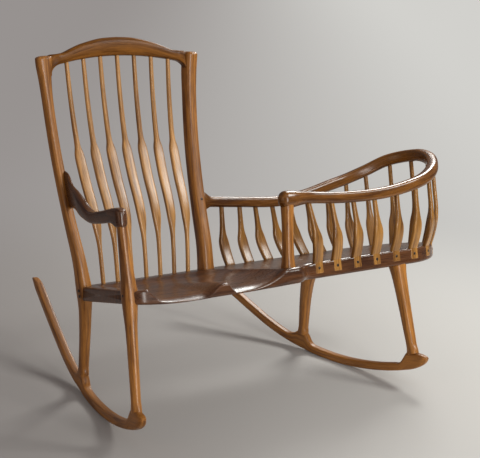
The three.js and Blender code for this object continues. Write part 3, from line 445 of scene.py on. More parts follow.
def member_tree():
    """Lofts superelliptic rings through stations that hold their own axes, sizes and squareness."""
    tree, keys = new_tree(
        "carved_member", {"Stations": "Geometry", "Sides": "Int", "Finish": "Material"}, "Member"
    )
    given = add_node(tree, "NodeGroupInput", (-2400, 0)).outputs
    count = add_node(
        tree, "GeometryNodeAttributeDomainSize", (-2200, 300), {"component": "MESH"},
        {"Geometry": given["Stations"]},
    )
    # The skin is a grid: a row for each station, and a point for each corner and the seam
    rim = add_node(tree, "ShaderNodeMath", (-2200, 100), {"operation": "ADD"}, {0: given["Sides"], 1: 1})
    skin = add_node(
        tree, "GeometryNodeMeshGrid", (-2000, 300), None, {"Vertices X": count, "Vertices Y": rim}
    )
    index = add_node(tree, "GeometryNodeInputIndex", (-2200, -100))
    row = add_node(tree, "ShaderNodeMath", (-2000, -60), {"operation": "DIVIDE"}, {0: index, 1: rim})
    station = add_node(tree, "ShaderNodeMath", (-1800, -60), {"operation": "FLOOR"}, {0: row})
    corner = add_node(tree, "ShaderNodeMath", (-2000, -220), {"operation": "MODULO"}, {0: index, 1: rim})
    middle = add_node(tree, "ShaderNodeMath", (-1800, -220), {"operation": "ADD"}, {0: corner, 1: 0.5})
    step = add_node(
        tree, "ShaderNodeMath", (-1800, -380), {"operation": "DIVIDE"}, {0: 2 * math.pi, 1: given["Sides"]}
    )
    turn = add_node(tree, "ShaderNodeMath", (-1600, -220), {"operation": "MULTIPLY"}, {0: middle, 1: step})
    held = {}
    for name in ("position", "across", "over", "stock", "square", "width", "depth", "along"):
        kind = "FLOAT_VECTOR" if name in ("position", "across", "over", "stock") else "FLOAT"
        height = 480 - 200 * len(held)
        field = add_node(
            tree, "GeometryNodeInputNamedAttribute", (-1600, height), {"data_type": kind}, {"Name": name}
        )
        held[name] = add_node(
            tree, "GeometryNodeSampleIndex", (-1400, height), {"data_type": kind, "domain": "POINT"},
            {"Geometry": given["Stations"], "Value": field, "Index": station},
        )
    power = add_node(
        tree, "ShaderNodeMath", (-1200, -600), {"operation": "DIVIDE"}, {0: 2.0, 1: held["square"]}
    )
    reaches = []
    for height, wave, size in ((-760, "COSINE", "width"), (-1060, "SINE", "depth")):
        swing = add_node(tree, "ShaderNodeMath", (-1400, height), {"operation": wave}, {0: turn})
        bare = add_node(tree, "ShaderNodeMath", (-1200, height), {"operation": "ABSOLUTE"}, {0: swing})
        side = add_node(tree, "ShaderNodeMath", (-1200, height - 140), {"operation": "SIGN"}, {0: swing})
        curve = add_node(tree, "ShaderNodeMath", (-1000, height), {"operation": "POWER"}, {0: bare, 1: power})
        half = add_node(
            tree, "ShaderNodeMath", (-1000, height - 140), {"operation": "MULTIPLY"}, {0: held[size], 1: 0.5}
        )
        signed = add_node(
            tree, "ShaderNodeMath", (-800, height), {"operation": "MULTIPLY"}, {0: side, 1: curve}
        )
        reaches.append(
            add_node(tree, "ShaderNodeMath", (-600, height), {"operation": "MULTIPLY"}, {0: signed, 1: half})
        )
    wide, deep = reaches
    out = add_node(
        tree, "ShaderNodeVectorMath", (-400, -760), {"operation": "SCALE"}, {0: held["across"], "Scale": wide}
    )
    over = add_node(
        tree, "ShaderNodeVectorMath", (-400, -960), {"operation": "SCALE"}, {0: held["over"], "Scale": deep}
    )
    offset = add_node(tree, "ShaderNodeVectorMath", (-200, -800), {"operation": "ADD"}, {0: out, 1: over})
    place = add_node(
        tree, "ShaderNodeVectorMath", (0, -600), {"operation": "ADD"}, {0: held["position"], 1: offset}
    )
    shaped = add_node(
        tree, "GeometryNodeSetPosition", (200, 200), None, {"Geometry": skin, "Position": place}
    )
    run = add_node(
        tree, "ShaderNodeCombineXYZ", (-200, -1100), None, {"X": wide, "Y": deep, "Z": held["along"]}
    )
    grain = add_node(
        tree, "ShaderNodeVectorMath", (0, -1100), {"operation": "ADD"}, {0: run, 1: held["stock"]}
    )
    grained = add_node(
        tree, "GeometryNodeStoreNamedAttribute", (400, 200), {"data_type": "FLOAT_VECTOR", "domain": "POINT"},
        {"Geometry": shaped, "Name": "grain", "Value": grain},
    )
    closed = add_node(
        tree, "GeometryNodeMergeByDistance", (600, 200), None, {"Geometry": grained, "Distance": 1e-6}
    )
    real = add_node(tree, "GeometryNodeRealizeInstances", (800, 200), None, {"Geometry": closed})
    oiled = add_node(
        tree, "GeometryNodeSetMaterial", (1000, 200), None, {"Geometry": real, "Material": given["Finish"]}
    )
    add_node(tree, "NodeGroupOutput", (1200, 200), None, {"Member": oiled})
    return tree, keys


MEMBER_TREES = []


def member(centres, width, depth, side=None, plumb=None, square=2.6, stock=(0, 0, 0)):
    """A line of stations for one member, with its end stations closed to points."""
    count = len(centres)
    along = unit(np.gradient(centres, axis=0)) if plumb is None else np.broadcast_to(plumb, centres.shape)
    across = np.cross(UP, along) if side is None else np.broadcast_to(side, along.shape)
    across = unit(across - along * np.sum(across * along, axis=1, keepdims=True))
    steps = np.linalg.norm(np.diff(centres, axis=0), axis=1)
    ends = np.clip(np.arange(-1, count + 1), 0, count - 1)
    line = bpy.data.meshes.new("stations")
    line.from_pydata(stand(centres[ends]).tolist(), [], [])
    hold(line, "across", tipped(across[ends]))
    hold(line, "over", tipped(np.cross(along, across)[ends]))
    hold(line, "stock", np.broadcast_to(np.array(stock, float) / 1000, (count + 2, 3)))
    hold(line, "square", np.broadcast_to(square, count)[ends])
    hold(line, "along", np.concatenate([[0], np.cumsum(steps)])[ends] / 1000)
    for name, sizes in (("width", width), ("depth", depth)):
        sizes = np.broadcast_to(sizes, count)[ends] / 1000
        sizes[[0, -1]] = 0
        hold(line, name, sizes)
    return line


def carve(name, line, sides, slot, node, hard_angle=40, look=None):
    """Makes a line of stations into one plain closed mesh in place of its CAD node."""
    if not MEMBER_TREES:
        MEMBER_TREES.append(member_tree())
    tree, keys = MEMBER_TREES[0]
    mesh = grown(name, line, tree, {keys["Sides"]: sides, keys["Finish"]: finish(look or slot)})
    place_piece(name, mesh, [node], hard_angle)


def loft(name, rings, grain, slot, node, hard_angle, look=None):
    """A closed piece through rings of points, for the forms that aren't round sticks."""
    count, sides = rings.shape[:2]
    start = np.arange(count - 1)[:, None] * sides
    near, after = start + np.arange(sides), start + (np.arange(sides) + 1) % sides
    faces = np.stack([near, after, after + sides, near + sides], -1).reshape(-1, 4).tolist()
    for hub, ring in ((count * sides, 0), (count * sides + 1, count - 1)):
        rim = ring * sides + np.arange(sides)
        faces += [[hub, int(a), int(b)] for a, b in zip(rim, np.roll(rim, -1))]
    spots, grains = (np.concatenate([v.reshape(-1, 3), v[[0, -1]].mean(1)]) for v in (rings, grain))
    mesh = bpy.data.meshes.new(name)
    mesh.from_pydata(stand(spots).tolist(), [], faces)
    hold(mesh, "grain", grains / 1000)
    mesh.materials.append(finish(look or slot))
    place_piece(name, mesh, [node], hard_angle)


# Where each member runs
def foot_at(hand, rear):
    spread, line, rise = (
        (REAR_FOOT_SPREAD, REAR_FOOT_LINE, REAR_FOOT_RISE)
        if rear
        else (FRONT_FOOT_SPREAD, FRONT_FOOT_LINE, FRONT_FOOT_RISE)
    )
    return np.array([ROCKER_MIDDLE + hand * spread, line, rise], float)


def back_post_at(hand, share):
    foot, top = LEFT_POST_FEET if hand < 0 else RIGHT_POST_FEET
    lean = POST_LEAN * share_at(BACK_LEAN, share)
    return points(hand * (foot + (top - foot) * share), lean, BACK_HEIGHT * share)


def left_back_post_at(share):
    foot = level(foot_at(-1, True))
    seat = back_post_at(-1, np.zeros(1))[0]
    down = np.maximum(-share, 0)
    past = np.maximum(down - 1, 0)
    leg = points(
        seat[0] + (foot[0] - seat[0]) * share_at(REAR_LEG_SPREAD, down),
        seat[1] + (foot[1] - seat[1]) * (share_at(REAR_LEG_LEAN, down) + past),
        seat[2] + (foot[2] - seat[2]) * down,
    )
    return np.where((share >= 0)[:, None], back_post_at(-1, share), leg)


def front_post_at(hand, share):
    foot, top, height = (
        (LEFT_POST_SPREAD, LEFT_POST_TOP_SPREAD, ARM_HEIGHT)
        if hand < 0
        else (CRADLE_POST_SPREAD, CRADLE_POST_TOP_SPREAD, KNUCKLE_JOINT)
    )
    line = FRONT_POST_LINE + (FRONT_POST_TOP_LINE - FRONT_POST_LINE) * share
    return points(hand * (foot + (top - foot) * share), line, height * share)


def left_front_leg_at(share):
    foot = level(foot_at(-1, False))
    seat = front_post_at(-1, np.zeros(1))[0]
    down = np.maximum(-share, 0)[:, None]
    return np.where((share >= 0)[:, None], front_post_at(-1, share), seat + (foot - seat) * down)


CREST_REACH = LEFT_POST_FEET[1] - POST_WIDTH * float(share_at(POST_WIDTHS, 0.97)) / 2


def crest_top(x):
    return BACK_HEIGHT + CREST_RISE * share_at(CREST_TOP, np.abs(x) / CREST_REACH)


def crest_under(x):
    into_fillet = np.clip(CREST_FILLET - (CREST_REACH - np.abs(x)), 0, CREST_FILLET)
    drop = CREST_FILLET - np.sqrt(CREST_FILLET**2 - into_fillet**2)
    return BACK_HEIGHT + CREST_RISE - CREST_HEIGHT - CREST_ARCH * (x / CREST_REACH) ** 2 - drop


def crest_line(x):
    return POST_LEAN - CREST_BOW * (x / CREST_REACH) ** 2


def spindle_at(number, share):
    top_x = number * SPINDLE_TOP_PITCH
    foot = np.array([number * SPINDLE_FOOT_PITCH, SPINDLE_FOOT_LINE, -SPINDLE_BITE])
    top = np.array([top_x, crest_line(top_x), float(crest_under(np.array(top_x))) + SPINDLE_BITE])
    at = foot + (top - foot) * share[:, None]
    at[:, 1] += SPINDLE_LUMBAR * share_at(SPINDLE_BOW, share)
    return at


def plan_path(pieces):
    """A plan curve of straight, Bezier and elliptical runs, as points and the run to each."""
    plan = np.concatenate(pieces)
    keep = np.concatenate([[True], np.linalg.norm(np.diff(plan, axis=0), axis=1) > 1e-9])
    plan = plan[keep]
    run = np.concatenate([[0], np.cumsum(np.linalg.norm(np.diff(plan, axis=0), axis=1))])
    return plan, run


def bezier_run(a, b, c, d, count=80):
    t = np.linspace(0, 1, count)[:, None]
    a, b, c, d = (np.array(p, float) for p in (a, b, c, d))
    return a * (1 - t) ** 3 + 3 * b * t * (1 - t) ** 2 + 3 * c * t * t * (1 - t) + d * t**3


def round_end(reach, low, high):
    turn = np.linspace(-QUARTER, QUARTER, 300)
    middle, half = (low + high) / 2, (high - low) / 2
    return np.stack([CRADLE_END_START + reach * np.cos(turn), middle + half * np.sin(turn)], -1)


RAIL_POST_END = RIGHT_POST_FEET[0] + (RIGHT_POST_FEET[1] - RIGHT_POST_FEET[0]) * RAIL_LOW / BACK_HEIGHT
RAIL_EASE = (CRADLE_POST_TOP_SPREAD + RAIL_STRAIGHT) / 2
RAIL_PLAN, RAIL_RUNS = plan_path([
    bezier_run(
        (CRADLE_POST_TOP_SPREAD, FRONT_POST_TOP_LINE), (RAIL_EASE, FRONT_POST_TOP_LINE),
        (RAIL_EASE, RAIL_FRONT_LINE), (RAIL_STRAIGHT, RAIL_FRONT_LINE),
    ),
    np.linspace((RAIL_STRAIGHT, RAIL_FRONT_LINE), (CRADLE_END_START, RAIL_FRONT_LINE), 60),
    round_end(RAIL_END_REACH, RAIL_FRONT_LINE, RAIL_REAR_LINE),
    np.linspace((CRADLE_END_START, RAIL_REAR_LINE), (RAIL_POST_END, RAIL_REAR_LINE), 60),
])
RAIL_RUN = RAIL_RUNS[-1]
SLAT_EDGE, SLAT_RUNS = plan_path([
    np.linspace((SLAT_RUN_START, CRADLE_FRONT_EDGE), (CRADLE_END_START, CRADLE_FRONT_EDGE), 60),
    round_end(CRADLE_END_REACH, CRADLE_FRONT_EDGE, SEAT_REAR_EDGE),
    np.linspace((CRADLE_END_START, SEAT_REAR_EDGE), (SLAT_RUN_END, SEAT_REAR_EDGE), 60),
])


def on_plan(plan, runs, share):
    run = np.clip(share, 0, 1) * runs[-1]
    return np.stack([np.interp(run, runs, plan[:, 0]), np.interp(run, runs, plan[:, 1])], -1)


def rail_at(share):
    share = np.atleast_1d(share)
    plan = on_plan(RAIL_PLAN, RAIL_RUNS, share)
    height = RAIL_LOW + RAIL_RISE * share_at(RAIL_RISES, np.clip(share, 0, 1))
    return points(plan[:, 0] + np.minimum(share, 0) * RAIL_RUN, plan[:, 1], height)


def slat_stand(number):
    """Where a slat's foot laps the plank's edge and where its neck meets the rail."""
    share = SLAT_FEET[number]
    edge, ahead, behind = on_plan(SLAT_EDGE, SLAT_RUNS, np.array([share, share + 1e-3, share - 1e-3]))
    x, y = unit(ahead - behind)
    away = np.array([y, -x, 0])
    return {
        "foot": np.array([*edge, 0]) - away * SLAT_FOOT_DEPTH / 2,
        "away": away,
        "sideways": np.array([x, y, 0]),
        "top": rail_at(SLAT_TOPS[number])[0],
    }


def slat_at(slat, place):
    height = place * SLAT_KINK
    share = np.maximum(height, 0) / slat["top"][2]
    at = slat["foot"] + (slat["top"] - slat["foot"]) * share[:, None]
    at[:, 2] = height
    return at + slat["away"] * (SLAT_BELLY * share_at(SLAT_BELLIES, share))[:, None]


# Rocker profile: X along the floor to the rear from where it stands, Y up
ROCKER_RUN = math.hypot(FRONT_FOOT_SPREAD - REAR_FOOT_SPREAD, REAR_FOOT_LINE - FRONT_FOOT_LINE)
TOE_IN = (FRONT_FOOT_SPREAD - REAR_FOOT_SPREAD) / ROCKER_RUN
ONWARD = (REAR_FOOT_LINE - FRONT_FOOT_LINE) / ROCKER_RUN


def rocker_profile(tail_length):
    """The rocker's underside and top as heights over one set of runs."""
    tail_start = math.asin(TAIL_TURN / ROCKER_RADIUS)
    tail_centre = np.array([-math.sin(tail_start), math.cos(tail_start)]) * (TAIL_RADIUS - ROCKER_RADIUS)
    tail_centre = tail_centre + [0, ROCKER_RADIUS]
    tail_end = math.asin((tail_length - tail_centre[0]) / TAIL_RADIUS)
    tapered = tail_end - TAIL_TAPER / TAIL_RADIUS

    def arc(turn, inset=ROCKER_DEPTH):
        radius = ROCKER_RADIUS - inset
        return np.stack([radius * np.sin(turn), ROCKER_RADIUS - radius * np.cos(turn)], -1)

    def tail(turn, inset):
        return np.stack([np.sin(turn), -np.cos(turn)], -1) * (TAIL_RADIUS - inset)[:, None] + tail_centre

    def curve(a, b, c):
        a, b, c = (np.array(p, float) for p in (a, b, c))
        return bezier_run(a, a + (b - a) * 2 / 3, c + (b - c) * 2 / 3, c, 24)

    rear_foot = ROCKER_RUN - CONTACT_SETBACK
    half_pad = PAD_LENGTH / 2
    pad_reach = half_pad + PAD_FILLET
    rear_out, rear_in, front_in = (
        math.asin(run / (ROCKER_RADIUS - ROCKER_DEPTH))
        for run in (rear_foot + pad_reach, rear_foot - pad_reach, pad_reach - CONTACT_SETBACK)
    )
    nose = np.array([-NOSE_REACH, NOSE_RISE], float)
    nose_turn = -math.asin(NOSE_BEND / ROCKER_RADIUS)
    under_nose = arc(np.array(nose_turn), 0)
    underside = np.concatenate([
        curve(nose, (-NOSE_REACH, (NOSE_RISE + under_nose[1]) / 2), under_nose),
        arc(np.linspace(nose_turn, tail_start, 200), 0),
        tail(np.linspace(tail_start, tail_end, 80), np.zeros(80)),
    ])
    rear_out_top, rear_in_top, front_in_top = arc(np.array([rear_out, rear_in, front_in]))
    top = np.concatenate([
        tail(np.linspace(tail_end, tapered, 30), ROCKER_DEPTH * share_at(TAIL_TAPERS, np.linspace(0, 1, 30))),
        tail(np.linspace(tapered, tail_start, 60), np.full(60, ROCKER_DEPTH)),
        arc(np.linspace(tail_start, rear_out, 40)),
        curve(
            rear_out_top, (rear_foot + half_pad + PAD_FILLET / 4, rear_out_top[1]),
            (rear_foot + half_pad, REAR_FOOT_RISE),
        ),
        curve(
            (rear_foot - half_pad, REAR_FOOT_RISE),
            (rear_foot - half_pad - PAD_FILLET / 6, rear_in_top[1]), rear_in_top,
        ),
        arc(np.linspace(rear_in, front_in, 160)),
        curve(
            front_in_top, (half_pad + PAD_FILLET / 6 - CONTACT_SETBACK, front_in_top[1]),
            (half_pad - CONTACT_SETBACK, FRONT_FOOT_RISE),
        ),
        curve((-half_pad - CONTACT_SETBACK, FRONT_FOOT_RISE), (-NOSE_REACH, FRONT_FOOT_RISE), nose),
    ])
    # The rings stand closer together at the two tips
    ends = [-NOSE_REACH + 0.3, -NOSE_REACH + 24, tail_length - 30, tail_length - 0.5]
    runs = np.interp(np.linspace(0, 1, 300), [0, 0.07, 0.93, 1], ends)
    low = np.interp(runs, underside[:, 0], underside[:, 1])
    order = np.argsort(top[:, 0], kind="stable")
    high = np.interp(runs, top[order, 0], top[order, 1])
    high = np.convolve(np.pad(high, 2, mode="edge"), np.ones(5) / 5, mode="valid")
    return runs, low, np.maximum(high, low + 1.5)


def rocker_rings(hand, width, stock):
    tail_length = LEFT_TAIL_LENGTH if hand < 0 else RIGHT_TAIL_LENGTH
    runs, low, high = rocker_profile(tail_length)
    sides, squareness = 40, 4
    turn = (np.arange(sides) + 0.5) / sides * 2 * math.pi
    cos, sin = (np.sign(wave) * np.abs(wave) ** (2 / squareness) for wave in (np.cos(turn), np.sin(turn)))
    from_nose = np.clip((runs + NOSE_REACH) / NOSE_ROUND, 0, 1)
    from_tail = np.clip((tail_length - runs) / TAIL_NARROWING, 0, 1)
    narrow = np.sqrt(1 - (1 - from_nose) ** 2 * 0.85) * (0.5 + 0.5 * np.sqrt(from_tail))
    wide = cos * (width / 2 * narrow)[:, None]
    middle, half = (low + high) / 2, (high - low) / 2
    tall = middle[:, None] + sin * half[:, None]
    along = np.array([-hand * TOE_IN, ONWARD, 0])
    contact = foot_at(hand, False) * [1, 1, 0] + along * CONTACT_SETBACK
    standing = (
        contact + along * runs[:, None, None] + np.cross(along, UP) * wide[..., None] + UP * tall[..., None]
    )
    grain = points(wide, tall - middle[:, None], np.broadcast_to(runs[:, None], wide.shape))
    return level(standing), grain + np.array(stock, float)


# The seat and cradle plank
def front_edge(x):
    """The plank's front edge in plan."""
    middle = (SHOULDER_START + SHOULDER_END) / 2
    seat_x = np.clip(x, -SEAT_FRONT_HALF, SHOULDER_START) / SHOULDER_START
    bow = SEAT_FRONT_EDGE - SEAT_FRONT_BOW * (1 - seat_x**2)
    corner_start = -SEAT_FRONT_HALF * 0.86
    into_corner = np.clip((corner_start - x) / (SEAT_FRONT_HALF + corner_start), 0, 1)
    corner = (SEAT_FRONT_CORNER - SEAT_FRONT_EDGE) * into_corner**2
    run = bezier_run(
        (SHOULDER_START, SEAT_FRONT_EDGE), (middle, SEAT_FRONT_EDGE + SEAT_FRONT_BOW / 4),
        (middle, CRADLE_FRONT_EDGE), (SHOULDER_END, CRADLE_FRONT_EDGE),
    )
    return np.where(x < SHOULDER_START, bow + corner, np.interp(x, run[:, 0], run[:, 1]))


def plank_columns():
    """Front and rear plan points of each column across the plank."""
    half = (SEAT_REAR_EDGE - CRADLE_FRONT_EDGE) / 2
    middle = (SEAT_REAR_EDGE + CRADLE_FRONT_EDGE) / 2
    # The columns stand closer together where the left edge rounds over
    front_x = np.concatenate([
        np.array([0, 0.4, 1.2, 2.6, 4.6, 7, 10]) - SEAT_FRONT_HALF,
        np.linspace(14 - SEAT_FRONT_HALF, 0, 78),
        np.linspace(0, SHOULDER_START, 86)[1:],
        np.linspace(SHOULDER_START, SHOULDER_END, 44)[1:],
        np.linspace(SHOULDER_END, CRADLE_END_START, 60)[1:],
    ])
    inward = np.clip((front_x + SEAT_FRONT_HALF) / SEAT_FRONT_HALF, 0, 1)
    rear_x = front_x + (SEAT_FRONT_HALF - SEAT_REAR_HALF) * (1 - inward)
    into_corner = np.clip(1 - (rear_x + SEAT_REAR_HALF) / (SEAT_REAR_HALF * 0.2), 0, 1)
    rear_y = SEAT_REAR_EDGE + (SEAT_REAR_CORNER - SEAT_REAR_EDGE) * into_corner**2
    turn = np.linspace(0, QUARTER, 60)[1:]
    turn[-1] -= 0.004
    end_x = CRADLE_END_START + CRADLE_END_REACH * np.sin(turn)
    reach_y = half * np.cos(turn)
    front = np.stack([np.r_[front_x, end_x], np.r_[front_edge(front_x), middle - reach_y]], -1)
    rear = np.stack([np.r_[rear_x, end_x], np.r_[rear_y, middle + reach_y]], -1)
    return front, rear


def scoop_floor(x, y):
    """The seat's surface: a dish with a hollow for each leg, a pommel and a rolled front lip."""
    half = SCOOP_REAR_HALF + (SCOOP_FRONT_HALF - SCOOP_REAR_HALF) * (y / SEAT_FRONT_EDGE)
    across = np.minimum(np.abs(x) / half, 1.06)
    forward = (SCOOP_REAR - y) / (SCOOP_REAR - SEAT_FRONT_EDGE)
    dish = (1 - across**8) * smoothstep(forward, 0, DISH_FULL)
    hollows = (ridge(x, LEFT_HOLLOW) + RIGHT_HOLLOW_SHARE * ridge(x, RIGHT_HOLLOW)) * (across < 1)
    pommel = ridge(x, POMMEL) * smoothstep(forward, POMMEL_START, 1)
    lip = np.clip((forward - LIP_START) / (1 - LIP_START), 0, 1.3) ** 2 * np.maximum(dish, 0)
    carved = (
        (SCOOP_DISH + SCOOP_LIFT) * dish
        + LEG_HOLLOW * hollows * smoothstep(forward, HOLLOW_START, 1)
        - POMMEL_RISE * pommel
        + LIP_ROUND * lip * (1 - 0.7 * pommel)
    )
    return np.where(forward > 0, SCOOP_LIFT - carved, SCOOP_LIFT)


def plank_rings():
    """Front-to-rear rings over and under the plank, with the scoop and the rounded edge."""
    front, rear = plank_columns()
    rim = np.concatenate([front, rear[::-1]])
    run = np.roll(rim, -1, axis=0) - rim
    length = np.maximum((run**2).sum(-1), 1e-9)
    near_edge = np.array([0, 0.12, 0.4, 0.9, 1.7, 2.8, 4.2, 5.8, 7.6, 9.6, 12, 16, 21])
    rings = []
    for a, b in zip(front, rear):
        reach = max(np.linalg.norm(b - a), 0.5)
        close = near_edge[near_edge < reach * 0.3] / reach
        far = close[-1] + (1 - 2 * close[-1]) * np.linspace(0, 1, 122 - 2 * len(close))[1:-1]
        plan = a + (b - a) * np.concatenate([close, far, 1 - close[::-1]])[:, None]
        t = np.clip(((plan[:, None] - rim) * run).sum(-1) / length, 0, 1)
        edge = np.linalg.norm(plan[:, None] - rim - run * t[..., None], axis=-1).min(1)
        edge[[0, -1]] = 0
        x, y = plan.T
        # The scoop's floor meets the flat top on a soft 1 mm bend
        body_top = -0.9 * np.log1p(np.exp(-np.clip(scoop_floor(x, y), -60, 40) / 0.9))
        left_in = np.clip((x + SEAT_FRONT_HALF) / RELIEF_REACH, 0, 1)
        right_in = np.clip((CRADLE_END_START + CRADLE_END_REACH - x) / RELIEF_REACH, 0, 1)
        body_under = SEAT_RELIEF * (1 - left_in) ** 2 + END_RELIEF * (1 - right_in) ** 2 - PLANK
        soft = SOFT_EDGE * ridge(x, SOFT_CORNER) * smoothstep(y, -250, -330)
        rounding = np.minimum(PLANK_ROUND + soft, (body_top - body_under) * 0.42)
        drop = rounding - np.sqrt(np.maximum(rounding**2 - np.maximum(rounding - edge, 0) ** 2, 0))
        top, under = body_top - drop, body_under + drop
        rings.append(np.concatenate([
            points(x, y, top),
            points(x[-1], y[-1], np.linspace(top[-1], under[-1], 8)[1:-1]),
            points(x[::-1], y[::-1], under[::-1]),
            points(x[0], y[0], np.linspace(under[0], top[0], 8)[1:-1]),
        ]))
    rings = np.array(rings)
    return rings, rings[..., [1, 2, 0]] + [420, 90, 700]


def from_hex(code):
    """An sRGB hex colour as linear RGBA."""
    channels = [int(code[i : i + 2], 16) / 255 for i in (1, 3, 5)]
    return (*[c / 12.92 if c <= 0.04045 else ((c + 0.055) / 1.055) ** 2.4 for c in channels], 1.0)


def toned(colour, tone):
    return (*[min(c * t, 1.0) for c, t in zip(colour, tone)], 1.0)


def new_material(name):
    material = bpy.data.materials.new(name)
    material.use_nodes = True
    material.node_tree.nodes.clear()
    return material, material.node_tree


def walnut_finish(colour, name, roughness, coat, gloss, band_mm, contrast):
    """Hand-rubbed oiled walnut. Growth bands and fibre streaks run along each member,
    open pores darken it in fine lines, and the satin sheen and a faint relief follow the fibres."""
    material, tree = new_material(name)
    grain = add_node(tree, "ShaderNodeAttribute", (-1600, 0), {"attribute_name": "grain"}).outputs["Vector"]
    noises = {}
    for pattern, scale, settings in (
        # Tone that wanders over 70 mm across and 400 mm along the member
        ("wander", (14, 14, 2.6), {"Detail": 3.0, "Roughness": 0.5}),
        # Growth bands some millimetres wide
        ("bands", (1000 / band_mm, 620 / band_mm, 7), {"Detail": 4.0, "Roughness": 0.55, "Distortion": 0.6}),
        # Fibre streaks about 3 mm wide and 110 mm long, as coarse as the render shows
        ("fibres", (330, 330, 9), {"Detail": 6.0, "Roughness": 0.62}),
        # Pores about 1 mm wide and 17 mm long, as coarse as a close view shows
        ("pores", (900, 900, 60), {"Detail": 2.0, "Roughness": 0.5}),
    ):
        height = 300 - 240 * len(noises)
        run = add_node(tree, "ShaderNodeMapping", (-1400, height), None, {"Vector": grain, "Scale": scale})
        noises[pattern] = add_node(
            tree, "ShaderNodeTexNoise", (-1200, height), None, {"Vector": run, "Scale": 1.0, **settings}
        )
    slow = add_node(
        tree, "ShaderNodeMath", (-900, 320), {"operation": "MULTIPLY"}, {0: noises["wander"], 1: 0.3}
    )
    mixed = add_node(
        tree, "ShaderNodeMath", (-760, 120), {"operation": "MULTIPLY_ADD"},
        {0: noises["bands"], 1: 0.55, 2: slow},
    )
    value = add_node(
        tree, "ShaderNodeMath", (-600, 60), {"operation": "MULTIPLY_ADD"},
        {0: noises["fibres"], 1: 0.3, 2: mixed},
    )
    ramp = add_node(tree, "ShaderNodeValToRGB", (-420, 60), None, {"Fac": value})
    middle, spread = 0.575, 0.14 / contrast
    dark, light = ramp.color_ramp.elements
    dark.position, dark.color = middle - spread, toned(colour, DARK_FIBRE)
    light.position, light.color = middle + spread, toned(colour, LIGHT_FIBRE)
    ramp.color_ramp.elements.new(middle).color = (*colour[:3], 1.0)
    open_pores = add_node(
        tree, "ShaderNodeMapRange", (-600, -420), None,
        {"Value": noises["pores"], "From Min": 0.36, "From Max": 0.44, "To Min": 0.8, "To Max": 1.0},
    )
    oiled = add_node(
        tree, "ShaderNodeMix", (-180, 60), {"data_type": "RGBA", "blend_type": "MULTIPLY"},
        {0: 1.0, 6: ramp, 7: open_pores},
    )
    rough = add_node(
        tree, "ShaderNodeMapRange", (-180, -240), None,
        {
            "Value": noises["fibres"], "From Min": 0.3, "From Max": 0.7,
            "To Min": roughness - 0.04, "To Max": roughness + 0.07,
        },
    )
    bump = add_node(
        tree, "ShaderNodeBump", (-180, -460), None,
        {"Strength": 0.18, "Distance": 0.0003, "Height": noises["fibres"]},
    )
    surface = add_node(
        tree, "ShaderNodeBsdfPrincipled", (80, 60), None,
        {
            "Base Color": oiled.outputs[2], "Roughness": rough, "Normal": bump, "IOR": 1.5,
            "Specular IOR Level": gloss, "Coat Weight": coat, "Coat Roughness": 0.16,
        },
    )
    add_node(tree, "ShaderNodeOutputMaterial", (360, 60), None, {"Surface": surface})
    return material


def ebony_finish(colour):
    """Turned and sanded ebony plugs: nearly black, with faint brown flecks and a satin face."""
    material, tree = new_material("sanded_ebony_plug")
    where = add_node(tree, "ShaderNodeTexCoord", (-900, 0)).outputs["Object"]
    # Flecks about 1 mm wide
    fleck = add_node(
        tree, "ShaderNodeTexNoise", (-700, 0), None, {"Vector": where, "Scale": 900.0, "Detail": 2.0}
    )
    ramp = add_node(tree, "ShaderNodeValToRGB", (-450, 0), None, {"Fac": fleck})
    for element, tone in zip(ramp.color_ramp.elements, (DARK_FIBRE, LIGHT_FIBRE)):
        element.color = toned(colour, tone)
    surface = add_node(
        tree, "ShaderNodeBsdfPrincipled", (-150, 0), None, {"Base Color": ramp, "IOR": 1.5, "Roughness": 0.32}
    )
    add_node(tree, "ShaderNodeOutputMaterial", (150, 0), None, {"Surface": surface})
    return material


FINISHES = {}


def finish(look):
    """A walnut, made once."""
    if look not in FINISHES:
        colour = tuple(getattr(bpy.context.scene.chair_colours, look))
        FINISHES[look] = walnut_finish(colour, *WALNUTS[look])
    return FINISHES[look]


def size(name, description, default, low, high):
    """A length in metres that a user may change."""
    return bpy.props.FloatProperty(
        name=name, description=description, default=default, min=low, max=high, unit="LENGTH"
    )


class ChairSizes(bpy.types.PropertyGroup):
    """Sizes and counts that a maker would change."""

    member_sides: bpy.props.IntProperty(
        name="Member sides", description="Points round each post, leg and rail", default=44, min=16, max=96
    )
    stick_sides: bpy.props.IntProperty(
        name="Stick sides", description="Points round each spindle and slat", default=28, min=12, max=64
    )
    crest_depth: size("Crest depth", "Thickness of the crest rail, front to back", 0.032, 0.02, 0.05)
    spindle_belly: size("Spindle belly", "Width of a back spindle's flat paddle", 0.033, 0.015, 0.05)
    spindle_thickness: size("Spindle thickness", "Thickness of a back spindle", 0.015, 0.008, 0.025)
    arm_width: size("Arm width", "Width of the left arm over the leg", 0.038, 0.025, 0.07)
    rocker_width: size("Rocker width", "Width of each rocker", 0.03, 0.02, 0.05)
    rail_width: size("Rail width", "Width of the cradle's bent rail", 0.036, 0.02, 0.05)
    rail_height: size("Rail height", "Height of the cradle's bent rail", 0.039, 0.02, 0.05)
    slat_width: size("Slat width", "Width of a cradle slat at its foot", 0.036, 0.02, 0.045)
    slat_thickness: size("Slat thickness", "Thickness of a cradle slat", 0.0162, 0.008, 0.025)
    plug_width: size("Plug width", "Width of the ebony plugs over the screws", 0.0105, 0.002, 0.02)
    plug_dome: size("Plug dome", "How far each plug stands proud", 0.0012, 0.0, 0.004)
    floor_reach: size("Floor reach", "Half the width of the studio floor", 60.0, 5.0, 200.0)


def colour_choice(name, description, code):
    return bpy.props.FloatVectorProperty(
        name=name, description=description, subtype="COLOR", size=4, default=from_hex(code), min=0, max=1
    )


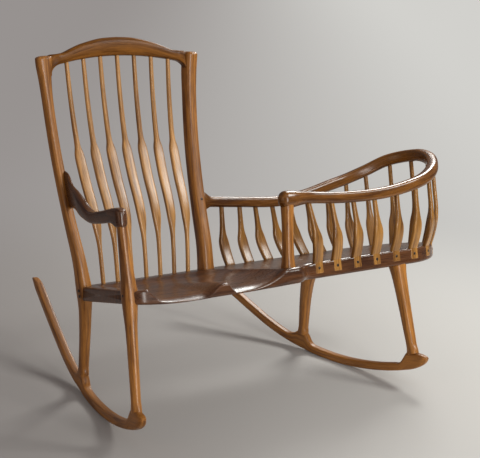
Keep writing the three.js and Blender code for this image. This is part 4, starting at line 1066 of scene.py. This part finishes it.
class ChairColours(bpy.types.PropertyGroup):
    """Middle tones of the woods, and the floor's shaded and lit ends, between which shade is painted on the
    floor.
    """

    walnut: colour_choice("Golden walnut", "Legs and posts", "#9c6529")
    pale_walnut: colour_choice("Pale walnut", "Spindles", "#b08049")
    red_walnut: colour_choice("Brown walnut", "Cradle rail", "#6f4416")
    crest_walnut: colour_choice("Crest walnut", "Crest rail", "#734718")
    rocker_walnut: colour_choice("Rocker walnut", "Rockers", "#956027")
    slat_walnut: colour_choice("Slat walnut", "Cradle slats", "#96682f")
    dark_walnut: colour_choice("Dark walnut", "Seat and arm", "#573318")
    ebony: colour_choice("Ebony", "Plugs over the screws", "#241811")
    # The floor's darker left end and lighter right end are painted shade and light, standing in for the fall
    # of the lamps' light across it
    floor_shaded_left: colour_choice("Floor left", "Studio floor at the picture's left", "#979290")
    floor_lit_right: colour_choice("Floor right", "Studio floor at the picture's right", "#d2d1cd")


class CHAIR_OT_seat(bpy.types.Operator):
    """Carves the seat and cradle floor from one plank"""

    bl_idname = "chair.seat"
    bl_label = "Seat and cradle plank"

    def execute(self, context):
        rings, grain = plank_rings()
        loft("seat_and_cradle_plank", rings, grain, "dark_walnut", "seat_plank", 60)
        return {"FINISHED"}


class CHAIR_OT_posts(bpy.types.Operator):
    """Shapes the back posts and front posts, and the left legs that they run on into"""

    bl_idname = "chair.posts"
    bl_label = "Posts"

    def execute(self, context):
        sides = context.scene.chair_sizes.member_sides
        leg_share = np.linspace(-1 - RUN_IN, 0, 90)[:-1]
        crown = 1 - (1 - POST_CROWN) * (1 - np.linspace(0, 1, 14)[1:]) ** 2
        up_post = np.concatenate([np.linspace(0, POST_CROWN, 110), crown])
        for hand, name in ((-1, "left_back_post"), (1, "right_back_post")):
            if hand < 0:
                share = np.concatenate([leg_share, up_post])
                centres = left_back_post_at(share)
                width = POST_WIDTH * share_at(POST_WIDTHS, share)
                shoe = 1 + SHOE_DEEPER * smoothstep(share, -SHOE_START, -1.0)
                depth = POST_DEPTH * share_at(POST_DEPTHS, share) * shoe
            else:
                share = np.concatenate([np.linspace(-RUN_IN, 0, 4)[:-1], up_post])
                centres = back_post_at(1, share)
                swell = share_at(RIGHT_POST_SIZES, np.maximum(share, 0))
                width, depth = RIGHT_POST_WIDTH * swell, RIGHT_POST_DEPTH * swell
            past = np.clip((share - POST_CROWN) / (1 - POST_CROWN), 0, 1)
            domed = np.sqrt(np.maximum(1 - 0.8 * past**3, 0.0009))
            squareness = 2.4 + 0.7 * smoothstep(share, -0.3, 0)
            stock = (130 * hand, 60, 300 + 500 * hand)
            line = member(centres, width * domed, depth * domed, ACROSS, square=squareness, stock=stock)
            carve(name + "_carved", line, sides, "walnut", name)
        share = np.concatenate([leg_share, np.linspace(0, 1 + RUN_IN, 50)])
        width = LEFT_POST_WIDTH * share_at(FRONT_POST_WIDTHS, share)
        depth = width * (1 + FRONT_SHOE_DEEPER * smoothstep(share, -SHOE_START, -1.0))
        squareness = 2.15 + 0.6 * smoothstep(share, -0.3, 0.1)
        centres = left_front_leg_at(share)
        line = member(centres, width, depth, ACROSS, square=squareness, stock=(-70, 160, 900))
        carve("left_front_leg_carved", line, sides, "walnut", "left_front_leg")
        share = np.linspace(-0.08, 1 + RUN_IN, 60)
        width = CRADLE_POST_WIDTH * share_at(CRADLE_POST_WIDTHS, np.clip(share, 0, 1))
        line = member(front_post_at(1, share), width, width, ACROSS, square=2.7, stock=(90, -120, 1400))
        carve("cradle_front_post_carved", line, sides, "walnut", "cradle_front_post")
        return {"FINISHED"}


class CHAIR_OT_legs(bpy.types.Operator):
    """Shapes the two legs under the cradle"""

    bl_idname = "chair.legs"
    bl_label = "Cradle legs"

    def execute(self, context):
        sides = context.scene.chair_sizes.member_sides
        share = np.linspace(-0.05, 1 + RUN_IN, 90)
        width = LEG_WIDTH * share_at(LEG_WIDTHS, share)
        depth = width * (1 + SHOE_DEEPER * smoothstep(share, CRADLE_SHOE_START, 1.0))
        for rear, name in ((True, "right_rear_leg"), (False, "right_front_leg")):
            top = np.array([*(RIGHT_REAR_LEG if rear else RIGHT_FRONT_LEG), -PLANK], float)
            foot = level(foot_at(1, rear))
            bow = share_at(LEG_BOW, share) + np.maximum(share - 1, 0) if rear else share
            centres = top + (foot - top) * points(share, bow, share)
            stock = (40 if rear else -210, 75, 200)
            carve(name + "_carved", member(centres, width, depth, ACROSS, stock=stock), sides, "walnut", name)
        return {"FINISHED"}


class CHAIR_OT_crest(bpy.types.Operator):
    """Arches the crest rail between the posts"""

    bl_idname = "chair.crest"
    bl_label = "Crest rail"

    def execute(self, context):
        sizes = context.scene.chair_sizes
        end = CREST_REACH + CREST_RUN_IN
        inner = CREST_REACH - CREST_FILLET
        fillet = inner + CREST_FILLET * np.sin(np.linspace(0, QUARTER, 30))[1:]
        half = np.concatenate([np.linspace(0, inner, 70)[1:], fillet, [end]])
        x = np.concatenate([-half[::-1], [0], half])
        inside = np.clip(x, -CREST_REACH, CREST_REACH)
        into_post = smoothstep(np.abs(x), inner, CREST_REACH)
        top = crest_top(inside) - CREST_END_DROP * smoothstep(np.abs(x), CREST_REACH - 3, end)
        under = crest_under(inside)
        centres = points(
            x + CREST_END_OUT * np.sign(x) * into_post,
            crest_line(inside) + CREST_END_REARWARD * into_post,
            (top + under) / 2,
        )
        depth = sizes.crest_depth * 1000 * (1 - CREST_END_SLIMMER * into_post)
        squareness = 3.2 + 3 * smoothstep(np.abs(x), inner - 10, end)
        line = member(centres, depth, top - under, REARWARD, ACROSS, squareness)
        carve(
            "crest_rail_carved", line, sizes.member_sides, "red_walnut", "crest_rail", look="crest_walnut"
        )
        return {"FINISHED"}


class CHAIR_OT_spindles(bpy.types.Operator):
    """Shapes the seven back spindles"""

    bl_idname = "chair.spindles"
    bl_label = "Back spindles"

    def execute(self, context):
        sizes = context.scene.chair_sizes
        share = np.linspace(0, 1, 130)
        width = sizes.spindle_belly * 1000 * share_at(SPINDLE_WIDTHS, share)
        depth = sizes.spindle_thickness * 1000 * share_at(SPINDLE_DEPTHS, share)
        squareness = share_at(SPINDLE_SQUARES, share)
        for k in range(SPINDLES):
            stock = (173 * k, 41 * k, 307 * k)
            centres = spindle_at(k - SPINDLES // 2, share)
            line = member(centres, width, depth, ACROSS, square=squareness, stock=stock)
            name = f"back_spindle_{k + 1}"
            carve(name + "_carved", line, sizes.stick_sides, "pale_walnut", name)
        return {"FINISHED"}


class CHAIR_OT_arm(bpy.types.Operator):
    """Carves the left arm from its fin at the post to its block on the leg"""

    bl_idname = "chair.arm"
    bl_label = "Left arm"

    def execute(self, context):
        sizes = context.scene.chair_sizes
        front = ARM_BLOCK + (1 - ARM_BLOCK) * np.sin(np.linspace(0, QUARTER, 24)[1:])
        share = np.concatenate([np.linspace(0, ARM_BLOCK, 130), front])
        low, high = (ARM_HEIGHT + ARM_RISE * share_at(table, share) for table in (ARM_UNDER, ARM_TOP))
        root = back_post_at(-1, np.array([(low[0] + high[0]) / (2 * BACK_HEIGHT)]))[0]
        spread = root[0] - (ARM_SPREAD + root[0]) * share_at(ARM_SPREADS, share)
        spread = spread + ARM_ROOT_INSET * smoothstep(share, ARM_INSET_END, 0)
        centres = points(spread, root[1] - (root[1] + ARM_REACH) * share, (low + high) / 2)
        lean = ARM_ROOT_LEAN * smoothstep(share, ARM_LEAN_END, 0)
        past = np.clip((share - ARM_BLOCK) / (1 - ARM_BLOCK), 0, 1)
        rounding = np.sqrt(np.maximum(1 - 0.86 * past**2, 0.01))
        width = sizes.arm_width * 1000 * share_at(ARM_WIDTHS, share) * rounding
        squareness = 2.6 + 2.2 * smoothstep(share, 0.3, 0.9)
        along = unit(lean[:, None] * UP - REARWARD)
        line = member(centres, width, high - low, ACROSS, along, squareness, (60, 240, 800))
        carve("left_arm_carved", line, sizes.member_sides + 8, "dark_walnut", "left_arm", 50)
        return {"FINISHED"}


class CHAIR_OT_rockers(bpy.types.Operator):
    """Shapes the two rockers"""

    bl_idname = "chair.rockers"
    bl_label = "Rockers"

    def execute(self, context):
        width = context.scene.chair_sizes.rocker_width * 1000
        for hand, name in ((-1, "left_rocker"), (1, "right_rocker")):
            rings, grain = rocker_rings(hand, width, (80 * hand, 210, 1700 * hand))
            loft(name + "_carved", rings, grain, "walnut", name, 50, "rocker_walnut")
        return {"FINISHED"}


class CHAIR_OT_cradle_rail(bpy.types.Operator):
    """Bends the cradle's bow rail from its knuckle round to the back post"""

    bl_idname = "chair.cradle_rail"
    bl_label = "Cradle rail"

    def execute(self, context):
        sizes = context.scene.chair_sizes
        knuckle = KNUCKLE_LENGTH / RAIL_RUN
        start = KNUCKLE[0][0] * knuckle
        nose = start - start * (1 - np.cos(np.linspace(0, QUARTER, 24)))
        neck = 5 * knuckle
        share = np.concatenate([nose, np.linspace(0, neck, 40)[1:], np.linspace(neck, 1, 360)[1:]])
        swell = np.maximum(share_at(KNUCKLE, share / knuckle), 0)
        fuller = share_at(RAIL_SWELLS, share)
        flare = smoothstep(share, RAIL_FLARE_START, RAIL_FLARE_END) ** 2
        ball = np.clip(1 - (share - start) / (0.75 * knuckle), 0, 1)
        ball = np.sqrt(np.maximum(1 - ball**2, 0.002))
        width, height = sizes.rail_width * 1000, sizes.rail_height * 1000
        line = member(
            rail_at(share),
            (width * fuller * (1 + RAIL_FLARE_WIDTH * flare) + (KNUCKLE_WIDTH - width) * swell) * ball,
            (height * fuller * (1 + RAIL_FLARE_HEIGHT * flare) + (KNUCKLE_HEIGHT - height) * swell) * ball,
            square=3.2 - swell, stock=(0, 130, 2200),
        )
        carve("cradle_rail_bent", line, sizes.member_sides, "red_walnut", "cradle_rail")
        return {"FINISHED"}


class CHAIR_OT_slats(bpy.types.Operator):
    """Shapes the cradle's slats and laps their feet on the plank"""

    bl_idname = "chair.slats"
    bl_label = "Cradle slats"

    def execute(self, context):
        sizes = context.scene.chair_sizes
        foot_place = -SLAT_FOOT_DROP / SLAT_KINK
        for number in range(len(SLAT_FEET)):
            slat = slat_stand(number)
            place = np.concatenate([
                [foot_place, foot_place + 0.012], np.linspace(foot_place + 0.05, 0, 10),
                np.linspace(0, 1.6, 70)[1:], np.linspace(1.6, slat["top"][2] / SLAT_KINK, 30)[1:],
            ])
            # The foot's end edge is softened
            foot = np.where(np.arange(len(place)) == 0, 0.94, 1.0)
            width = sizes.slat_width * 1000 * share_at(SLAT_WIDTHS, place) * foot
            depth = sizes.slat_thickness * 1000 * share_at(SLAT_DEPTHS, place) * foot
            line = member(
                slat_at(slat, place), width, depth, slat["sideways"], square=share_at(SLAT_SQUARES, place),
                stock=(137 * number, 53 * number, 211 * number),
            )
            name = f"cradle_slat_{number + 1}"
            carve(name + "_carved", line, sizes.stick_sides, "pale_walnut", name, look="slat_walnut")
        return {"FINISHED"}


def plug_places(slat_thickness):
    """Where ebony plugs cover screws, and the way each faces."""
    places = []
    for number in range(len(SLAT_FEET)):
        slat = slat_stand(number)
        outer = slat_at(slat, np.array([-SLAT_PLUG_DROP / SLAT_KINK]))[0]
        thick = slat_thickness * SLAT_DEPTHS[0][1] / 2
        places.append((outer + slat["away"] * thick, slat["away"]))
    post = back_post_at(-1, np.zeros(1))[0] + [-POST_WIDTH * POST_PLUG_OUT, POST_PLUG_LINE, 0]
    leg = front_post_at(-1, np.zeros(1))[0] + [-LEFT_POST_WIDTH * LEG_PLUG_OUT, 0, 0]
    for drop in LEG_PLUG_DROPS:
        places += [(post - UP * drop, -ACROSS), (leg - UP * drop, -ACROSS)]
    right = back_post_at(1, np.array([RAIL_LOW / BACK_HEIGHT + RAIL_PLUG_RISE]))[0]
    places.append((right - REARWARD * RIGHT_POST_DEPTH * RAIL_PLUG_OUT, -REARWARD))
    return places


def plug_tree():
    """Instances a domed plug on each point, turned to face the way its point says."""
    tree, keys = new_tree(
        "ebony_plugs",
        {"Points": "Geometry", "Plug width": "Float", "Plug dome": "Float", "Finish": "Material"},
        "Plugs",
    )
    given = add_node(tree, "NodeGroupInput", (-900, 0)).outputs
    ball = add_node(
        tree, "GeometryNodeMeshUVSphere", (-700, -200), None, {"Segments": 16, "Rings": 10, "Radius": 0.5}
    )
    squash = add_node(
        tree, "ShaderNodeCombineXYZ", (-700, -380), None,
        {"X": given["Plug width"], "Y": given["Plug width"], "Z": given["Plug dome"]},
    )
    shaped = add_node(tree, "GeometryNodeTransform", (-500, -200), None, {"Geometry": ball, "Scale": squash})
    facing = add_node(
        tree, "GeometryNodeInputNamedAttribute", (-700, 200), {"data_type": "FLOAT_VECTOR"},
        {"Name": "facing"},
    )
    turn = add_node(tree, "FunctionNodeAlignRotationToVector", (-500, 200), {"axis": "Z"}, {"Vector": facing})
    placed = add_node(
        tree, "GeometryNodeInstanceOnPoints", (-250, 0), None,
        {"Points": given["Points"], "Instance": shaped, "Rotation": turn},
    )
    real = add_node(tree, "GeometryNodeRealizeInstances", (0, 0), None, {"Geometry": placed})
    sanded = add_node(
        tree, "GeometryNodeSetMaterial", (250, 0), None, {"Geometry": real, "Material": given["Finish"]}
    )
    add_node(tree, "NodeGroupOutput", (500, 0), None, {"Plugs": sanded})
    return tree, keys


class CHAIR_OT_plugs(bpy.types.Operator):
    """Sets ebony plugs over the screws in the slats, legs and posts"""

    bl_idname = "chair.plugs"
    bl_label = "Ebony plugs"

    def execute(self, context):
        sizes = context.scene.chair_sizes
        places, ways = zip(*plug_places(sizes.slat_thickness * 1000))
        start = bpy.data.meshes.new("plug_points")
        start.from_pydata(stand(places).tolist(), [], [])
        hold(start, "facing", tipped(ways))
        tree, keys = plug_tree()
        mesh = grown("ebony_plugs", start, tree, {
            keys["Plug width"]: sizes.plug_width,
            keys["Plug dome"]: 2 * sizes.plug_dome,
            keys["Finish"]: ebony_finish(tuple(context.scene.chair_colours.ebony)),
        })
        place_piece("ebony_plugs", mesh, [], 180)
        return {"FINISHED"}


def floor_finish(left, right):
    """Matt painted studio floor with painted shade darkening it to the left, evened out far off as a sweep
    is.
    """
    material, tree = new_material("matt_studio_floor")
    where = add_node(tree, "ShaderNodeTexCoord", (-1200, 0)).outputs["Object"]
    # Metres to the photo's right, along the floor
    side = add_node(
        tree, "ShaderNodeVectorMath", (-1000, 120), {"operation": "DOT_PRODUCT"},
        {0: where, 1: (0.8, -0.6, 0.0)},
    )
    # Painted shade: darkest from 1.5 m to the left of the middle, lightest from 2.1 m to its right
    shade = add_node(
        tree, "ShaderNodeMapRange", (-800, 120), {"interpolation_type": "SMOOTHSTEP"},
        {"Value": side.outputs["Value"], "From Min": -1.5, "From Max": 2.1, "To Min": 0.0, "To Max": 1.0},
    )
    paint = add_node(
        tree, "ShaderNodeMix", (-600, 120), {"data_type": "RGBA"}, {0: shade, 6: left, 7: right}
    ).outputs[2]
    # A tenth of what the camera sees of the floor glows with its paint everywhere, lightening the chair's
    # shadow, and from 0.75 m to 2.6 m from the middle it turns wholly to that glow, so it evens out
    reach = add_node(tree, "ShaderNodeVectorMath", (-1000, -120), {"operation": "LENGTH"}, {0: where})
    far = add_node(
        tree, "ShaderNodeMapRange", (-800, -120), {"interpolation_type": "SMOOTHSTEP"},
        {"Value": reach.outputs["Value"], "From Min": 0.75, "From Max": 2.6, "To Min": 0.1, "To Max": 1.0},
    )
    eye = add_node(tree, "ShaderNodeLightPath", (-800, -320)).outputs["Is Camera Ray"]
    evened = add_node(tree, "ShaderNodeMath", (-600, -200), {"operation": "MULTIPLY"}, {0: far, 1: eye})
    matt = add_node(
        tree, "ShaderNodeBsdfPrincipled", (-350, 120), None,
        {"Base Color": paint, "Roughness": 0.85, "Specular IOR Level": 0.2},
    )
    glow = add_node(tree, "ShaderNodeEmission", (-350, -200), None, {"Color": paint, "Strength": 1.0})
    surface = add_node(tree, "ShaderNodeMixShader", (0, 0), None, {0: evened, 1: matt, 2: glow})
    add_node(tree, "ShaderNodeOutputMaterial", (250, 0), None, {"Surface": surface})
    return material


class CHAIR_OT_stage(bpy.types.Operator):
    """Lays the studio floor and sets the soft boxes and the camera"""

    bl_idname = "chair.stage"
    bl_label = "Studio"

    def execute(self, context):
        scene = context.scene
        colours = scene.chair_colours
        reach = scene.chair_sizes.floor_reach
        mesh = bpy.data.meshes.new("studio_floor")
        corners = [(-reach, -reach, 0), (reach, -reach, 0), (reach, reach, 0), (-reach, reach, 0)]
        mesh.from_pydata(corners, [], [(0, 1, 2, 3)])
        mesh.materials.append(floor_finish(tuple(colours.floor_shaded_left), tuple(colours.floor_lit_right)))
        floor = bpy.data.objects.new("studio_floor", mesh)
        scene.collection.objects.link(floor)
        scene.world = bpy.data.worlds.new("studio_air")
        scene.world.use_nodes = True
        air = scene.world.node_tree
        air.nodes.clear()
        glow = {"Color": from_hex(AIR_COLOUR), "Strength": AIR_STRENGTH}
        sky = add_node(air, "ShaderNodeBackground", (0, 0), None, glow)
        add_node(air, "ShaderNodeOutputWorld", (200, 0), None, {"Surface": sky})
        for name, (place, aim, sides, watts, colour) in SOFT_BOXES.items():
            light = bpy.data.lights.new(name, "AREA")
            light.shape = "RECTANGLE"
            light.size, light.size_y = sides
            light.energy = watts
            light.color = from_hex(colour)[:3]
            box = bpy.data.objects.new(name, light)
            box.location = place
            box.rotation_mode = "QUATERNION"
            box.rotation_quaternion = (Vector(aim) - Vector(place)).to_track_quat("-Z", "Y")
            scene.collection.objects.link(box)
        camera = bpy.data.cameras.new("camera")
        camera.sensor_width = 36
        camera.lens = CAMERA_LENS
        camera.clip_start, camera.clip_end = 0.1, 200
        eye = bpy.data.objects.new("camera", camera)
        turn = Matrix((CAMERA_RIGHT, CAMERA_UP, CAMERA_BACK)).transposed().to_4x4()
        eye.matrix_world = Matrix.Translation(Vector(CAMERA_PLACE)) @ turn
        scene.collection.objects.link(eye)
        scene.camera = eye
        scene.view_settings.view_transform = "Standard"
        return {"FINISHED"}


class CHAIR_PT_panel(bpy.types.Panel):
    """Lists the sizes, colours and steps"""

    bl_idname = "CHAIR_PT_panel"
    bl_label = "Rocking chair"
    bl_space_type = "VIEW_3D"
    bl_region_type = "UI"
    bl_category = "Rocking chair"

    def draw(self, context):
        for group in (context.scene.chair_sizes, context.scene.chair_colours):
            for name in group.__annotations__:
                self.layout.prop(group, name)
        for step in STEPS:
            self.layout.operator(step.bl_idname)


STEPS = (
    CHAIR_OT_seat,
    CHAIR_OT_posts,
    CHAIR_OT_legs,
    CHAIR_OT_crest,
    CHAIR_OT_spindles,
    CHAIR_OT_arm,
    CHAIR_OT_rockers,
    CHAIR_OT_cradle_rail,
    CHAIR_OT_slats,
    CHAIR_OT_plugs,
    CHAIR_OT_stage,
)
CLASSES = (ChairSizes, ChairColours, *STEPS, CHAIR_PT_panel)


def register():
    for each in CLASSES:
        bpy.utils.register_class(each)
    bpy.types.Scene.chair_sizes = bpy.props.PointerProperty(type=ChairSizes)
    bpy.types.Scene.chair_colours = bpy.props.PointerProperty(type=ChairColours)


def unregister():
    del bpy.types.Scene.chair_sizes
    del bpy.types.Scene.chair_colours
    for each in reversed(CLASSES):
        bpy.utils.unregister_class(each)


def main():
    register()
    bpy.ops.chair.seat()
    bpy.ops.chair.posts()
    bpy.ops.chair.legs()
    bpy.ops.chair.crest()
    bpy.ops.chair.spindles()
    bpy.ops.chair.arm()
    bpy.ops.chair.rockers()
    bpy.ops.chair.cradle_rail()
    bpy.ops.chair.slats()
    bpy.ops.chair.plugs()
    bpy.ops.chair.stage()
    bpy.context.view_layer.update()


if __name__ == "__main__":
    main()
